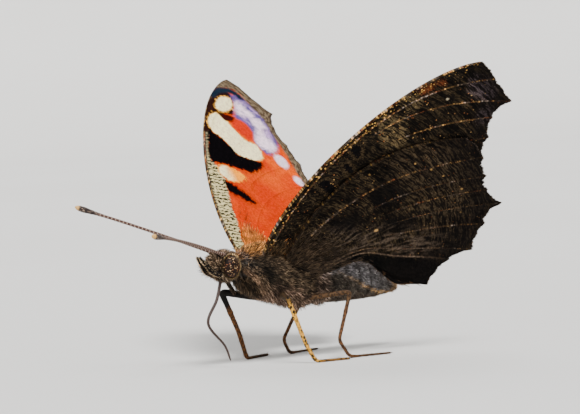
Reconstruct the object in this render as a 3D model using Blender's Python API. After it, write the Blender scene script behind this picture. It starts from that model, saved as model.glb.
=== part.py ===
"""A peacock butterfly at life size, standing with its wings held up in a wide V.

The body is modelled in its own frame: head towards -X, the insect's left towards -Y, up +Z, with the
point midway between the wing hinges at zero. One empty then lifts and tips that frame into the stance,
so that the four walking feet lie on small flats at z = 0. Lengths in this file are in millimetres and
are turned into metres where a mesh is made.
"""
import math

import bmesh
import bpy
import numpy as np
from mathutils import Vector

MM = 0.001

# Stance
HINGE_HEIGHT = 10.46
BODY_PITCH = math.radians(8.0)
GAP = 0.3

# Wings
WING_OPENING = math.radians(40.4)
WING_TWIST = math.radians(-6.5)
HINGE_HALF_SPACING = 1.6
WING_THICKNESS = 0.5
WING_CAMBER = 0.5
CAMBER_CENTRE = 2.0
CAMBER_REACH = 11.0
VEIN_HEIGHT = 0.12
VEIN_HALF_WIDTH = 0.3
FOREWING_LIFT = 0.0
HINDWING_LIFT = -1.06
FOLD_ANGLE = math.radians(19.4)
FOLD_HEIGHT = 5.3
FOLD_REACH = 7.0
FOLD_SOFTNESS = 0.5
BAY_DEPTH = 1.9
BAY_CENTRE = 8.5
BAY_REACH = 3.0
BAY_FADE = 3.6

# Each vein runs on one cubic arc. Its row gives where it starts along the wing's root line (0 front,
# 1 rear), its tip (backward, outward), the bearings at which it leaves the root and arrives at the tip
# (degrees from straight outward towards the tail), the length of its two handles as shares of its span,
# the share of its length at which its ridge starts, and how deep the edge is cut in behind its tip.
FOREWING_ROOT = ((-1.6, 0.3), (1.5, 0.3))
FOREWING_VEINS = (
    ("costa", 0.00, (10.0, 28.42), -17.4, 65.0, 0.28, 0.26, 0.00, -0.20),
    ("radius", 0.14, (12.5, 26.9), -8.0, 72.0, 0.33, 0.38, 0.00, 0.00),
    ("median_1", 0.26, (15.58, 24.92), -2.1, 78.0, 0.37, 0.51, 0.50, 0.40),
    ("median_2", 0.39, (14.6, 22.6), 0.1, 68.0, 0.53, 0.32, 0.52, 0.30),
    ("median_3", 0.52, (15.5, 20.15), 3.4, 66.0, 0.54, 0.53, 0.50, 0.35),
    ("cubitus_1", 0.64, (16.3, 17.6), 9.0, 66.0, 0.50, 0.45, 0.38, 0.30),
    ("cubitus_2", 0.76, (16.6, 14.5), 18.0, 68.0, 0.45, 0.42, 0.00, 0.25),
    ("anal", 0.90, (16.0, 11.5), 34.0, 70.0, 0.40, 0.40, 0.00, 0.10),
    ("inner_edge", 1.00, (14.7, 9.6), 48.0, 66.0, 0.36, 0.36, 0.00, 0.00),
)
HINDWING_ROOT = ((0.8, 0.3), (4.3, 0.2))
HINDWING_VEINS = (
    ("costa", 0.00, (12.9, 19.6), -3.0, 72.0, 0.45, 0.40, 0.00, -0.35),
    ("radial_sector", 0.14, (15.4, 18.25), 6.0, 66.0, 0.42, 0.40, 0.00, 0.25),
    ("median_1", 0.27, (16.78, 16.3), 18.0, 66.0, 0.40, 0.38, 0.36, 0.30),
    ("median_2", 0.39, (17.8, 14.75), 28.0, 68.0, 0.38, 0.36, 0.42, 0.35),
    ("median_3", 0.50, (20.13, 13.7), 37.0, 70.0, 0.38, 0.36, 0.42, 0.55),
    ("cubitus_1", 0.60, (19.65, 10.7), 45.0, 74.0, 0.36, 0.36, 0.38, 0.35),
    ("cubitus_2", 0.70, (20.05, 7.25), 54.0, 80.0, 0.34, 0.36, 0.00, 0.35),
    ("anal_1", 0.80, (18.2, 5.4), 62.0, 86.0, 0.34, 0.36, 0.00, 0.25),
    ("anal_2", 0.90, (16.75, 2.05), 72.0, 92.0, 0.34, 0.36, 0.00, 0.20),
    ("inner_edge", 1.00, (13.3, 1.2), 78.0, 96.0, 0.34, 0.36, 0.00, 0.00),
)
FOREWING_ROWS = 12
HINDWING_ROWS = 10

# Trunk sections: place along the body, height of the middle, half width, half height
THORAX = (
    (-2.9, -0.70, 1.40, 1.55),
    (-2.3, -0.74, 1.95, 2.10),
    (-1.0, -0.78, 2.45, 2.58),
    (0.6, -0.88, 2.65, 2.82),
    (2.2, -1.10, 2.60, 2.85),
    (3.6, -1.45, 2.35, 2.70),
    (4.8, -1.72, 2.00, 2.42),
    (5.6, -1.76, 1.68, 2.05),
)
ABDOMEN = (
    (5.9, -1.76, 1.68, 2.05),
    (7.0, -1.66, 2.02, 2.28),
    (9.0, -1.42, 2.25, 2.35),
    (11.5, -1.20, 2.20, 2.27),
    (13.6, -1.15, 1.88, 1.98),
    (15.4, -1.19, 1.45, 1.58),
    (16.8, -1.30, 0.98, 1.08),
    (17.6, -1.45, 0.55, 0.62),
    (17.95, -1.55, 0.22, 0.26),
)
ABDOMEN_SEGMENTS = 7
GROOVE_DEPTH = 0.09
PROTHORAX = (
    (-4.05, -0.68, 1.10, 1.25),
    (-3.6, -0.68, 1.30, 1.48),
    (-3.2, -0.70, 1.38, 1.53),
)
HEAD = (
    (-6.95, -0.70, 0.30, 0.38),
    (-6.6, -0.72, 0.78, 0.95),
    (-6.0, -0.74, 1.20, 1.40),
    (-5.3, -0.74, 1.38, 1.60),
    (-4.75, -0.72, 1.30, 1.50),
    (-4.35, -0.70, 1.05, 1.22),
)
EYE_CENTRE = (-5.2, 1.22, -0.78)
EYE_RADII = (1.02, 0.85, 1.12)

# Feelers, mouthparts and legs: the route's points, the rounding of its corners, and the radius at
# given shares of its length. A leg's stations are where its femur, tibia and foot part.
ANTENNA_ROUTES = {
    "left": ((-5.3, -0.5, 0.3), (-9.6, -2.5, 0.85), (-14.6, -5.0, 1.25), (-19.7, -7.5, 1.4)),
    "right": ((-5.3, 0.5, 0.3), (-9.8, 1.7, 1.55), (-15.0, 3.35, 2.95), (-20.3, 5.2, 4.3)),
}
ANTENNA_RADII = ((0.0, 0.28), (0.08, 0.25), (0.84, 0.25), (0.90, 0.36), (0.955, 0.46), (0.99, 0.34), (1.0, 0.2))
PALP_ROUTE = ((-5.7, 0.68, -1.75), (-6.9, 0.70, -1.45), (-7.75, 0.58, -0.75), (-8.4, 0.42, -0.1))
PALP_RADII = ((0.0, 0.42), (0.35, 0.50), (0.7, 0.36), (1.0, 0.14))
PROBOSCIS_ROUTE = (
    (-5.45, 0.0, -1.9), (-5.85, 0.0, -4.2), (-6.75, 0.05, -6.7), (-4.5, 0.1, -8.8), (-3.6, 0.1, -10.35),
)
PROBOSCIS_RADII = ((0.0, 0.28), (0.5, 0.25), (1.0, 0.2))
FORELEG_ROUTE = ((-3.5, 1.0, -1.0), (-3.55, 1.85, -1.25), (-2.75, 2.6, -2.05), (-1.8, 2.55, -3.3))
FORELEG_RADII = ((0.0, 0.30), (0.35, 0.38), (0.75, 0.34), (1.0, 0.16))
FEMUR_TIBIA_RADII = ((0.0, 0.30), (0.2, 0.38), (0.43, 0.30), (0.5, 0.32), (0.6, 0.29), (0.9, 0.27), (1.0, 0.30))
FOOT_RADIUS = 0.27
FOOT_TIP_RADIUS = 0.22
FOOT_REST = 0.2

# Leg: hip, knee and ankle in the body's frame; heel and toe on the floor (row: x, y)
LEGS = {
    "mid_left": ((1.5, -1.1, -3.3), (-1.0, -5.5, -3.8), (1.75, -5.5, -8.45), (0.95, -5.6), (4.6, -6.6)),
    "mid_right": ((1.5, 1.2, -3.75), (-2.3, 4.0, -3.3), (0.9, 4.9, -7.3), (0.55, 5.45), (4.3, 6.7)),
    "hind_left": ((4.0, -1.0, -3.7), (8.4, -4.0, -2.6), (6.4, -5.0, -7.7), (5.6, -5.4), (10.2, -6.5)),
    "hind_right": ((4.0, 1.0, -3.7), (8.7, 3.9, -2.75), (7.0, 5.0, -7.9), (6.2, 5.35), (10.8, 6.3)),
}


def clear_scene():
    for obj in list(bpy.data.objects):
        bpy.data.objects.remove(obj, do_unlink=True)


def new_collection(name):
    collection = bpy.data.collections.new(name)
    bpy.context.scene.collection.children.link(collection)
    return collection


def finish(name, colour, roughness, metallic=0.0):
    """A plain Principled material."""
    material = bpy.data.materials.new(name)
    material.use_nodes = True
    shader = material.node_tree.nodes["Principled BSDF"]
    shader.inputs["Base Color"].default_value = (*colour, 1.0)
    shader.inputs["Roughness"].default_value = roughness
    shader.inputs["Metallic"].default_value = metallic
    return material


def add_object(name, points, faces, material, collection, pivot=(0.0, 0.0, 0.0)):
    """An object in the stance frame, with its origin at the pivot where it joins its carrier."""
    pivot = np.asarray(pivot, float)
    mesh = bpy.data.meshes.new(name)
    mesh.from_pydata(((np.asarray(points) - pivot) * MM).tolist(), [], [list(f) for f in faces])
    work = bmesh.new()
    work.from_mesh(mesh)
    bmesh.ops.recalc_face_normals(work, faces=work.faces)
    work.to_mesh(mesh)
    work.free()
    mesh.materials.append(material)
    obj = bpy.data.objects.new(name, mesh)
    obj.location = Vector(pivot * MM)
    obj.parent = STANCE
    collection.objects.link(obj)
    return obj


def shade(obj):
    obj.data.shade_smooth()
    obj.data.set_sharp_from_angle(angle=math.radians(40.0))


def keep_largest(obj):
    """Leaves only the largest closed surface of the mesh."""
    work = bmesh.new()
    work.from_mesh(obj.data)
    todo = set(work.verts)
    islands = []
    while todo:
        stack = [todo.pop()]
        island = set(stack)
        while stack:
            vert = stack.pop()
            for edge in vert.link_edges:
                other = edge.other_vert(vert)
                if other in todo:
                    todo.remove(other)
                    island.add(other)
                    stack.append(other)
        islands.append(island)
    islands.sort(key=len, reverse=True)
    for island in islands[1:]:
        bmesh.ops.delete(work, geom=list(island), context="VERTS")
    work.to_mesh(obj.data)
    work.free()


def cut_away(obj, cutters):
    """Takes each cutter's volume off the object and applies the result."""
    for cutter in cutters:
        modifier = obj.modifiers.new("clear_of_" + cutter.name, "BOOLEAN")
        modifier.operation = "DIFFERENCE"
        modifier.solver = "EXACT"
        modifier.object = cutter
    bpy.context.view_layer.update()
    graph = bpy.context.evaluated_depsgraph_get()
    mesh = bpy.data.meshes.new_from_object(obj.evaluated_get(graph))
    obj.modifiers.clear()
    obj.data = mesh
    keep_largest(obj)


def smooth_rows(rows, count):
    """Resamples a table along its first column through Catmull-Rom arcs."""
    rows = np.asarray(rows, float)
    ends = np.vstack([2 * rows[0] - rows[1], rows, 2 * rows[-1] - rows[-2]])
    at = np.linspace(0, len(rows) - 1, count)
    cell = np.minimum(at.astype(int), len(rows) - 2)
    t = (at - cell)[:, None]
    a, b, c, d = (ends[cell + k] for k in range(4))
    return 0.5 * (2 * b + (c - a) * t + (2 * a - 5 * b + 4 * c - d) * t**2 + (3 * b - a - 3 * c + d) * t**3)


def loft(sections, sides, grow=0.0):
    """Elliptical rings on the body's axis, closed by a flat face at each end."""
    turn = np.linspace(0, 2 * math.pi, sides, endpoint=False)
    points = [
        np.column_stack([
            np.full(sides, x),
            (half_width + grow) * np.sin(turn),
            middle + (half_height + grow) * np.cos(turn),
        ])
        for x, middle, half_width, half_height in sections
    ]
    faces = []
    for ring in range(len(sections) - 1):
        for side in range(sides):
            low, high = ring * sides, (ring + 1) * sides
            after = (side + 1) % sides
            faces.append((low + side, low + after, high + after, high + side))
    faces.append(tuple(range(sides)))
    faces.append(tuple(range((len(sections) - 1) * sides, len(sections) * sides)))
    return np.vstack(points), faces


def grown(sections, by):
    """The same trunk sections, longer and fatter by the gap that neighbours keep."""
    first, last = list(sections[0]), list(sections[-1])
    first[0] -= by
    last[0] += by
    return [first, *sections[1:-1], last]


def make_trunk():
    """Thorax, prothorax, abdomen and head, which meet on flat faces one gap apart."""
    nodes = {}
    for name, table, rings, sides, coat in (
        ("thorax", THORAX, 13, 20, "thorax_coat"),
        ("prothorax", PROTHORAX, 4, 16, "thorax_coat"),
        ("head", HEAD, 9, 16, "head_coat"),
    ):
        points, faces = loft(smooth_rows(table, rings), sides)
        pivot = (table[0][0], 0.0, table[0][1])
        nodes[name] = add_object(name, points, faces, FINISHES[coat], PARTS, pivot)
    nodes["abdomen"] = make_abdomen()
    return nodes


def make_abdomen():
    """Seven rings of plates, each a little fuller behind the groove that it starts from."""
    rows = smooth_rows(ABDOMEN, 3 * ABDOMEN_SEGMENTS + 1)
    for number, row in enumerate(rows[:-1]):
        if number % 3 == 0 and number:
            row[2:] -= GROOVE_DEPTH
    points, faces = loft(rows, 18)
    return add_object("abdomen", points, faces, FINISHES["abdomen_plates"], PARTS, (5.9, 0.0, -1.6))


def make_eyes(trunk):
    """Bulging compound eyes, seated in sockets cut out of the head."""
    eyes = []
    for side, sign in (("left", -1), ("right", 1)):
        centre = np.array([EYE_CENTRE[0], sign * EYE_CENTRE[1], EYE_CENTRE[2]])
        for name, grow, collection in (("eye_" + side, 0.0, PARTS), ("socket_" + side, GAP, CUTTERS)):
            work = bmesh.new()
            bmesh.ops.create_uvsphere(work, u_segments=14, v_segments=9, radius=1.0)
            for vert in work.verts:
                vert.co = Vector((vert.co[axis] * (EYE_RADII[axis] + grow)) for axis in range(3))
            points = np.array([vert.co for vert in work.verts]) + centre
            faces = [[vert.index for vert in face.verts] for face in work.faces]
            work.free()
            obj = add_object(name, points, faces, FINISHES["eye_lenses"], collection, centre)
            if collection is CUTTERS:
                hide_cutter(obj)
                cut_away(trunk["head"], [obj])
            else:
                eyes.append(obj)
    return eyes


def hide_cutter(obj):
    obj.hide_render = True
    obj.display_type = "WIRE"


def make_seats():
    """The trunk's pieces grown by one gap, which clear the roots of whatever grows from them."""
    seats = {}
    for name, table, rings, sides in (
        ("thorax", THORAX, 13, 20),
        ("prothorax", PROTHORAX, 4, 16),
        ("head", HEAD, 9, 16),
        ("abdomen", ABDOMEN, 13, 18),
    ):
        points, faces = loft(grown(smooth_rows(table, rings), GAP), sides, GAP)
        seats[name] = add_object("seat_" + name, points, faces, FINISHES["thorax_coat"], CUTTERS)
        hide_cutter(seats[name])
    return seats


def round_route(points, per_span=8):
    """A smooth curve through the route's points."""
    return smooth_rows(np.asarray(points, float), per_span * (len(points) - 1) + 1)


def bent_route(points, rounding):
    """Straight runs whose corners are turned on short arcs."""
    points = np.asarray(points, float)
    route = [points[0]]
    for before, corner, after in zip(points, points[1:], points[2:]):
        back = (before - corner) / np.linalg.norm(before - corner)
        on = (after - corner) / np.linalg.norm(after - corner)
        for t in np.linspace(0, 1, 5):
            start, end = corner + rounding * back, corner + rounding * on
            route.append((1 - t) ** 2 * start + 2 * t * (1 - t) * corner + t**2 * end)
    route.append(points[-1])
    return np.array(route)


def lengths_along(route):
    return np.concatenate([[0.0], np.cumsum(np.linalg.norm(np.diff(route, axis=0), axis=1))])


def stretch(route, start, end, spacing):
    """The part of a route between two lengths, as points about one spacing apart."""
    along = lengths_along(route)
    count = max(3, int(round((end - start) / spacing)) + 1)
    at = np.linspace(start, end, count)
    return np.column_stack([np.interp(at, along, route[:, axis]) for axis in range(3)]), at


def tube(name, points, radii, material, collection=None, resolution=2):
    """A round rod along the points: a bevelled curve turned into a closed mesh."""
    curve = bpy.data.curves.new(name, "CURVE")
    curve.dimensions = "3D"
    curve.bevel_depth = MM
    curve.bevel_resolution = resolution
    curve.use_fill_caps = True
    spline = curve.splines.new("POLY")
    spline.points.add(len(points) - 1)
    for point, place, radius in zip(spline.points, points - points[0], radii):
        point.co = (*(place * MM), 1.0)
        point.radius = float(radius)
    rod = bpy.data.objects.new(name + "_curve", curve)
    PARTS.objects.link(rod)
    graph = bpy.context.evaluated_depsgraph_get()
    mesh = bpy.data.meshes.new_from_object(rod.evaluated_get(graph))
    bpy.data.objects.remove(rod)
    work = bmesh.new()
    work.from_mesh(mesh)
    bmesh.ops.remove_doubles(work, verts=work.verts, dist=0.01 * MM)
    bmesh.ops.recalc_face_normals(work, faces=work.faces)
    work.to_mesh(mesh)
    work.free()
    mesh.materials.clear()
    mesh.materials.append(material)
    mesh.name = name
    obj = bpy.data.objects.new(name, mesh)
    obj.location = Vector(points[0] * MM)
    obj.parent = STANCE
    (collection or PARTS).objects.link(obj)
    return obj


def radius_at(profile, shares):
    places, radii = zip(*profile)
    return np.interp(shares, places, radii)


def sided(points, sign):
    """A route given for the right side, carried to the side of the sign."""
    return np.asarray(points, float) * np.array([1.0, sign, 1.0])


def make_antennae(seats):
    feelers = []
    for side, route in ANTENNA_ROUTES.items():
        smooth = round_route(route)
        total = lengths_along(smooth)[-1]
        shares = np.array([0.0, 0.12, 0.24, 0.36, 0.48, 0.60, 0.72, 0.84, 0.87, 0.90, 0.93, 0.955, 0.975, 0.99, 1.0])
        along = lengths_along(smooth)
        points = np.column_stack([np.interp(shares * total, along, smooth[:, axis]) for axis in range(3)])
        obj = tube("antenna_" + side, points, radius_at(ANTENNA_RADII, shares), FINISHES["antenna_shaft"])
        cut_away(obj, [seats["head"]])
        feelers.append(obj)
    return feelers


def make_mouthparts(seats):
    """Two upturned palps, and the tongue in two lengths that meet below its bend."""
    pieces = []
    for side, sign in (("left", -1), ("right", 1)):
        points, at = stretch(round_route(sided(PALP_ROUTE, sign)), 0.0, 4.0, 0.45)
        obj = tube("palp_" + side, points, radius_at(PALP_RADII, at / at[-1]), FINISHES["head_coat"])
        cut_away(obj, [seats["head"]])
        pieces.append(obj)
    route = round_route(PROBOSCIS_ROUTE)
    total = lengths_along(route)[-1]
    knee = 0.52 * total
    for name, start, end in (("proboscis_upper", 0.0, knee), ("proboscis_lower", knee + GAP, total)):
        points, at = stretch(route, start, end, 0.7)
        obj = tube(name, points, radius_at(PROBOSCIS_RADII, at / total), FINISHES["tongue"])
        cut_away(obj, [seats["head"]])
        pieces.append(obj)
    return pieces


def make_forelegs(seats):
    """The short brush legs, folded along the front of the thorax."""
    pieces = []
    for side, sign in (("left", -1), ("right", 1)):
        points, at = stretch(round_route(sided(FORELEG_ROUTE, sign)), 0.0, 4.2, 0.45)
        obj = tube("foreleg_" + side, points, radius_at(FORELEG_RADII, at / at[-1]), FINISHES["leg_scales"])
        cut_away(obj, [seats["prothorax"], seats["thorax"]])
        pieces.append(obj)
    return pieces


def floor_point(x, y, height):
    """A place over the floor, carried into the body's frame."""
    world = Vector((x * MM, y * MM, height * MM))
    return np.array(STANCE.matrix_world.inverted() @ world) / MM


def make_legs(seats, floor):
    """Four walking legs, each parted into femur, tibia and foot on parallel faces one gap apart."""
    pieces = []
    for name, (hip, knee, ankle, heel, toe) in LEGS.items():
        flat = [floor_point(*heel, FOOT_REST), floor_point(*toe, FOOT_REST)]
        route = bent_route([hip, knee, ankle, *flat], 0.55)
        along = lengths_along(route)
        femur_length = np.linalg.norm(np.subtract(knee, hip))
        tibia_length = np.linalg.norm(np.subtract(ankle, knee))
        knee_at = femur_length + 0.35
        ankle_at = femur_length + tibia_length - 0.9
        foot_at = along[-1]
        for part, start, end, spacing in (
            ("femur", 0.0, knee_at, 0.75),
            ("tibia", knee_at + GAP, ankle_at, 0.9),
            ("tarsus", ankle_at + GAP, foot_at, 0.55),
        ):
            points, at = stretch(route, start, end, spacing)
            if part == "tarsus":
                radii = np.linspace(FOOT_RADIUS, FOOT_TIP_RADIUS, len(points))
            else:
                radii = radius_at(FEMUR_TIBIA_RADII, at / ankle_at)
            obj = tube(f"{part}_{name}", points, radii, FINISHES["leg_scales"])
            if part == "femur":
                cut_away(obj, [seats["thorax"]])
            if part == "tarsus":
                cut_away(obj, [floor])
            pieces.append(obj)
    return pieces


def bearing(degrees):
    """A direction in the wing's plane, turned from straight outward towards the tail."""
    turn = math.radians(degrees)
    return np.array([math.sin(turn), math.cos(turn)])


def vein_arcs(root, veins, rows):
    """The cubic arc of every vein, as one array of rows by veins by two."""
    share = np.linspace(0, 1, rows)[:, None]
    front, rear = (np.array(end) for end in root)
    arcs = []
    for _, place, tip, leave, arrive, near, far, _, _ in veins:
        start, tip = front + (rear - front) * place, np.array(tip)
        span = np.linalg.norm(tip - start)
        first = start + bearing(leave) * near * span
        second = tip - bearing(arrive) * far * span
        arcs.append(
            (1 - share) ** 3 * start + 3 * (1 - share) ** 2 * share * first
            + 3 * (1 - share) * share**2 * second + share**3 * tip
        )
    return np.stack(arcs, axis=1)


def wing_columns(root, veins, rows):
    """Columns on each vein, at its flanks and midway to the next, with the height of the ridge there.

    Between two tips the edge is drawn in on a parabola, as deep as the vein's row says.
    """
    arcs = vein_arcs(root, veins, rows)
    share = np.linspace(0, 1, rows)
    columns, ridges = [], []
    for number, vein in enumerate(veins):
        starts = vein[7]
        ridge = VEIN_HEIGHT * np.clip((share - starts) / 0.12 + (starts == 0), 0, 1)
        ridge = ridge * np.clip((1 - share) / 0.08, 0.35, 1)
        columns.append(arcs[:, number])
        ridges.append(ridge)
        if number == len(veins) - 1:
            break
        here, after = arcs[:, number], arcs[:, number + 1]
        width = np.linalg.norm(after - here, axis=1)
        flank = np.minimum(VEIN_HALF_WIDTH / np.maximum(width, 1e-6), 0.3)
        for part in (flank, np.full(rows, 0.5), 1 - flank):
            line = here + (after - here) * part[:, None]
            inward = here[-2] - here[-1] + after[-2] - after[-1]
            inward /= np.linalg.norm(inward)
            depth = vein[8] * 4 * part[-1] * (1 - part[-1])
            line = line + np.outer(np.clip((share - 0.8) / 0.2, 0, 1) ** 2 * depth, inward)
            columns.append(line)
            ridges.append(np.zeros(rows))
    return np.stack(columns, axis=1), np.stack(ridges, axis=1)


def with_bay(plan):
    """Draws the hindwing's inner edge outwards, in a shallow bay round the abdomen's upper side.

    The shift is a bell curve of the place backwards and fades with the distance outwards from the edge.
    """
    back, out = plan[..., 0], plan[..., 1]
    edge = np.interp(back, plan[:, -1, 0], plan[:, -1, 1])
    bell = BAY_DEPTH * np.exp(-(((back - BAY_CENTRE) / BAY_REACH) ** 2))
    return np.stack([back, out + bell * np.exp(-np.maximum(out - edge, 0) / BAY_FADE)], axis=-1)


def wing_place(plan, lift, sign, folded):
    """Carries a plan (backward, outward) and a height over the wing's plane into the body's frame.

    The plane is bowed by a shallow parabola across the wing. Where folded is true, what lies inside
    the fold line is turned down along the abdomen.
    """
    back, out = plan[..., 0], plan[..., 1]
    bow = -WING_CAMBER * ((back - CAMBER_CENTRE) / CAMBER_REACH) ** 2
    if folded:
        fold = FOLD_HEIGHT * (1 - np.exp(-np.maximum(back, 0) / FOLD_REACH))
        inside = FOLD_SOFTNESS * np.logaddexp(0, (fold - out) / FOLD_SOFTNESS)
        out = out + inside * (1 - math.cos(FOLD_ANGLE))
        bow = bow - inside * math.sin(FOLD_ANGLE)
    outward = np.array([0, sign * math.sin(WING_OPENING), math.cos(WING_OPENING)])
    upper = np.array([0, -sign * math.cos(WING_OPENING), math.sin(WING_OPENING)])
    backward = np.array([math.cos(WING_TWIST), 0, 0]) + math.sin(WING_TWIST) * upper
    hinge = np.array([0, sign * HINGE_HALF_SPACING, 0])
    return (
        hinge + back[..., None] * backward + out[..., None] * outward + (bow + lift)[..., None] * upper
    )


def wing_shell(root, veins, rows, lift, sign, folded):
    """A membrane with two like faces, each raised along the veins, closed by a rim."""
    plan, ridge = wing_columns(root, veins, rows)
    if folded:
        plan = with_bay(plan)
    half = WING_THICKNESS / 2
    upper = wing_place(plan, lift + half + ridge, sign, folded)
    under = wing_place(plan, lift - half - ridge, sign, folded)
    count = plan.shape[1]
    points = np.vstack([upper.reshape(-1, 3), under.reshape(-1, 3)])
    size = rows * count
    faces = []
    for row in range(rows - 1):
        for column in range(count - 1):
            a = row * count + column
            b, c, d = a + 1, a + count + 1, a + count
            corners = ((a, b, c), (a, c, d)) if column % 4 < 2 else ((a, b, d), (b, c, d))
            for corner in corners:
                faces.append(corner)
                faces.append(tuple(size + index for index in reversed(corner)))
    first_row = [column for column in range(count)]
    rear = [row * count + count - 1 for row in range(1, rows)]
    last_row = [(rows - 1) * count + column for column in range(count - 2, -1, -1)]
    front = [row * count for row in range(rows - 2, 0, -1)]
    rim = first_row + rear + last_row + front
    for here, after in zip(rim, rim[1:] + rim[:1]):
        faces.append((here, after, size + after))
        faces.append((here, size + after, size + here))
    return points, faces


def make_wings(seats):
    wings = []
    for side, sign in (("left", -1), ("right", 1)):
        for name, root, veins, rows, lift, folded in (
            ("forewing_", FOREWING_ROOT, FOREWING_VEINS, FOREWING_ROWS, FOREWING_LIFT, False),
            ("hindwing_", HINDWING_ROOT, HINDWING_VEINS, HINDWING_ROWS, HINDWING_LIFT, True),
        ):
            points, faces = wing_shell(root, veins, rows, lift, sign, folded)
            hinge = wing_place(np.mean(np.array(root), axis=0), np.array(lift), sign, folded)
            obj = add_object(name + side, points, faces, FINISHES["wing_membrane"], PARTS, hinge)
            cut_away(obj, [seats["thorax"], seats["abdomen"]] if folded else [seats["thorax"]])
            wings.append(obj)
    return wings


def make_floor_cutter():
    bpy.ops.mesh.primitive_cube_add(size=1.0, location=(0, 0, -0.01))
    floor = bpy.context.active_object
    floor.name = "floor_cut"
    floor.scale = (0.1, 0.1, 0.02)
    bpy.ops.object.transform_apply(location=False, rotation=False, scale=True)
    for collection in list(floor.users_collection):
        collection.objects.unlink(floor)
    CUTTERS.objects.link(floor)
    hide_cutter(floor)
    return floor


def centre_over_origin():
    """Slides the stance so that the whole insect's box is centred over the origin."""
    bpy.context.view_layer.update()
    corners = np.array([
        obj.matrix_world @ vert.co for obj in PARTS.objects if obj.type == "MESH" for vert in obj.data.vertices
    ])
    middle = (corners.min(axis=0) + corners.max(axis=0)) / 2
    STANCE.location.x -= middle[0]
    STANCE.location.y -= middle[1]


clear_scene()
PARTS = new_collection("peacock_butterfly")
CUTTERS = new_collection("cutters")
STANCE = bpy.data.objects.new("stance", None)
STANCE.location = (0.0, 0.0, HINGE_HEIGHT * MM)
STANCE.rotation_euler = (0.0, BODY_PITCH, 0.0)
PARTS.objects.link(STANCE)
bpy.context.view_layer.update()
FINISHES = {
    "thorax_coat": finish("thorax_coat", (0.10, 0.07, 0.05), 0.95),
    "head_coat": finish("head_coat", (0.16, 0.12, 0.10), 0.95),
    "abdomen_plates": finish("abdomen_plates", (0.12, 0.11, 0.11), 0.7),
    "eye_lenses": finish("eye_lenses", (0.10, 0.04, 0.03), 0.25),
    "antenna_shaft": finish("antenna_shaft", (0.30, 0.20, 0.16), 0.7),
    "tongue": finish("tongue", (0.12, 0.06, 0.03), 0.5),
    "leg_scales": finish("leg_scales", (0.36, 0.24, 0.10), 0.8),
    "wing_membrane": finish("wing_membrane", (0.42, 0.10, 0.03), 0.85),
}
trunk = make_trunk()
seats = make_seats()
make_eyes(trunk)
make_antennae(seats)
make_mouthparts(seats)
make_forelegs(seats)
make_legs(seats, make_floor_cutter())
make_wings(seats)
centre_over_origin()
for part in PARTS.objects:
    if part.type == "MESH":
        shade(part)
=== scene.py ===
"""The peacock butterfly's looks: scaled wings, furred body, feelers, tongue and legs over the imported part.

Lengths are in millimetres in the body's own frame (head towards -X, the insect's left towards -Y, up +Z,
zero midway between the wing hinges) and are carried into the row frame, in metres, where a mesh is made.
"""
import math

import bpy
import numpy as np
from mathutils import Matrix, Vector


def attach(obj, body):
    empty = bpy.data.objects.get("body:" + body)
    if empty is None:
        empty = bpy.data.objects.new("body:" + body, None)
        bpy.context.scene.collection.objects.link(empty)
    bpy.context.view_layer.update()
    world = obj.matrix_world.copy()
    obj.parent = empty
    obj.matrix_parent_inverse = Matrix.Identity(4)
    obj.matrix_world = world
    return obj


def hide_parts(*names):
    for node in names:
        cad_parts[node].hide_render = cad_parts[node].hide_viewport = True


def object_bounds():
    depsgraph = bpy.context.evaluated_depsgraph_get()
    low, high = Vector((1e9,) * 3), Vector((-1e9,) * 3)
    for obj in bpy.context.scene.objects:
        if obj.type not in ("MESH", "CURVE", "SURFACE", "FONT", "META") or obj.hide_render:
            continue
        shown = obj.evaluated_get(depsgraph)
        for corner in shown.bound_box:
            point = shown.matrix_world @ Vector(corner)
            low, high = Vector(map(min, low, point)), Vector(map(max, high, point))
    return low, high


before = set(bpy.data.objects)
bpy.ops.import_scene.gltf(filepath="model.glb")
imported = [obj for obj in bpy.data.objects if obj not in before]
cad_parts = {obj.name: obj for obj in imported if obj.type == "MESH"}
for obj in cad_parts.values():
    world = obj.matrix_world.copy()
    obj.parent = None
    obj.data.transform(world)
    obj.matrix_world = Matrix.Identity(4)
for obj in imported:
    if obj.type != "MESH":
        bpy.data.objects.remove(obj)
CAD_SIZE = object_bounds()

MM = 0.001
DRAW = np.random.default_rng(41)

# Stance
HINGE_HEIGHT = 10.46
BODY_PITCH = math.radians(8.0)
SLIDE = -0.630

# Wings
WING_OPENING = math.radians(40.4)
WING_TWIST = math.radians(-6.5)
HINGE_HALF_SPACING = 1.6
WING_CAMBER = 0.5
CAMBER_CENTRE = 2.0
CAMBER_REACH = 11.0
FOLD_ANGLE = math.radians(19.4)
FOLD_HEIGHT = 5.3
FOLD_REACH = 7.0
FOLD_SOFTNESS = 0.5
HINDWING_LIFT = -1.06
BAY_DEPTH = 1.9
BAY_CENTRE = 8.5
BAY_REACH = 3.0
BAY_FADE = 3.6
MEMBRANE = 0.09
ROOT_THICKENING = 0.05
VEIN_HEIGHT = 0.085
VEIN_WIDTH = 0.13
VEIN_RUN_IN = 0.12
PLEAT_HEIGHT = 0.10
PLEAT_FULL_WIDTH = 2.5
FRONT_RISE = 0.77
FRONT_RISE_REACH = 2.4
WING_ROWS = 150
CELL_COLUMNS = 14

# Wing edges: where along a vein the scallops and the teeth begin, as shares of its length, and their depths
SCALLOPS_START = 0.8
TEETH_START = 0.9
EDGE_INSET = 0.12
TOOTH_DEPTH = 0.14
FRAY_DEPTH = 0.07

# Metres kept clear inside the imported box, so that rounding can't put a hair's tip outside it
BOX_MARGIN = 0.00001

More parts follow.
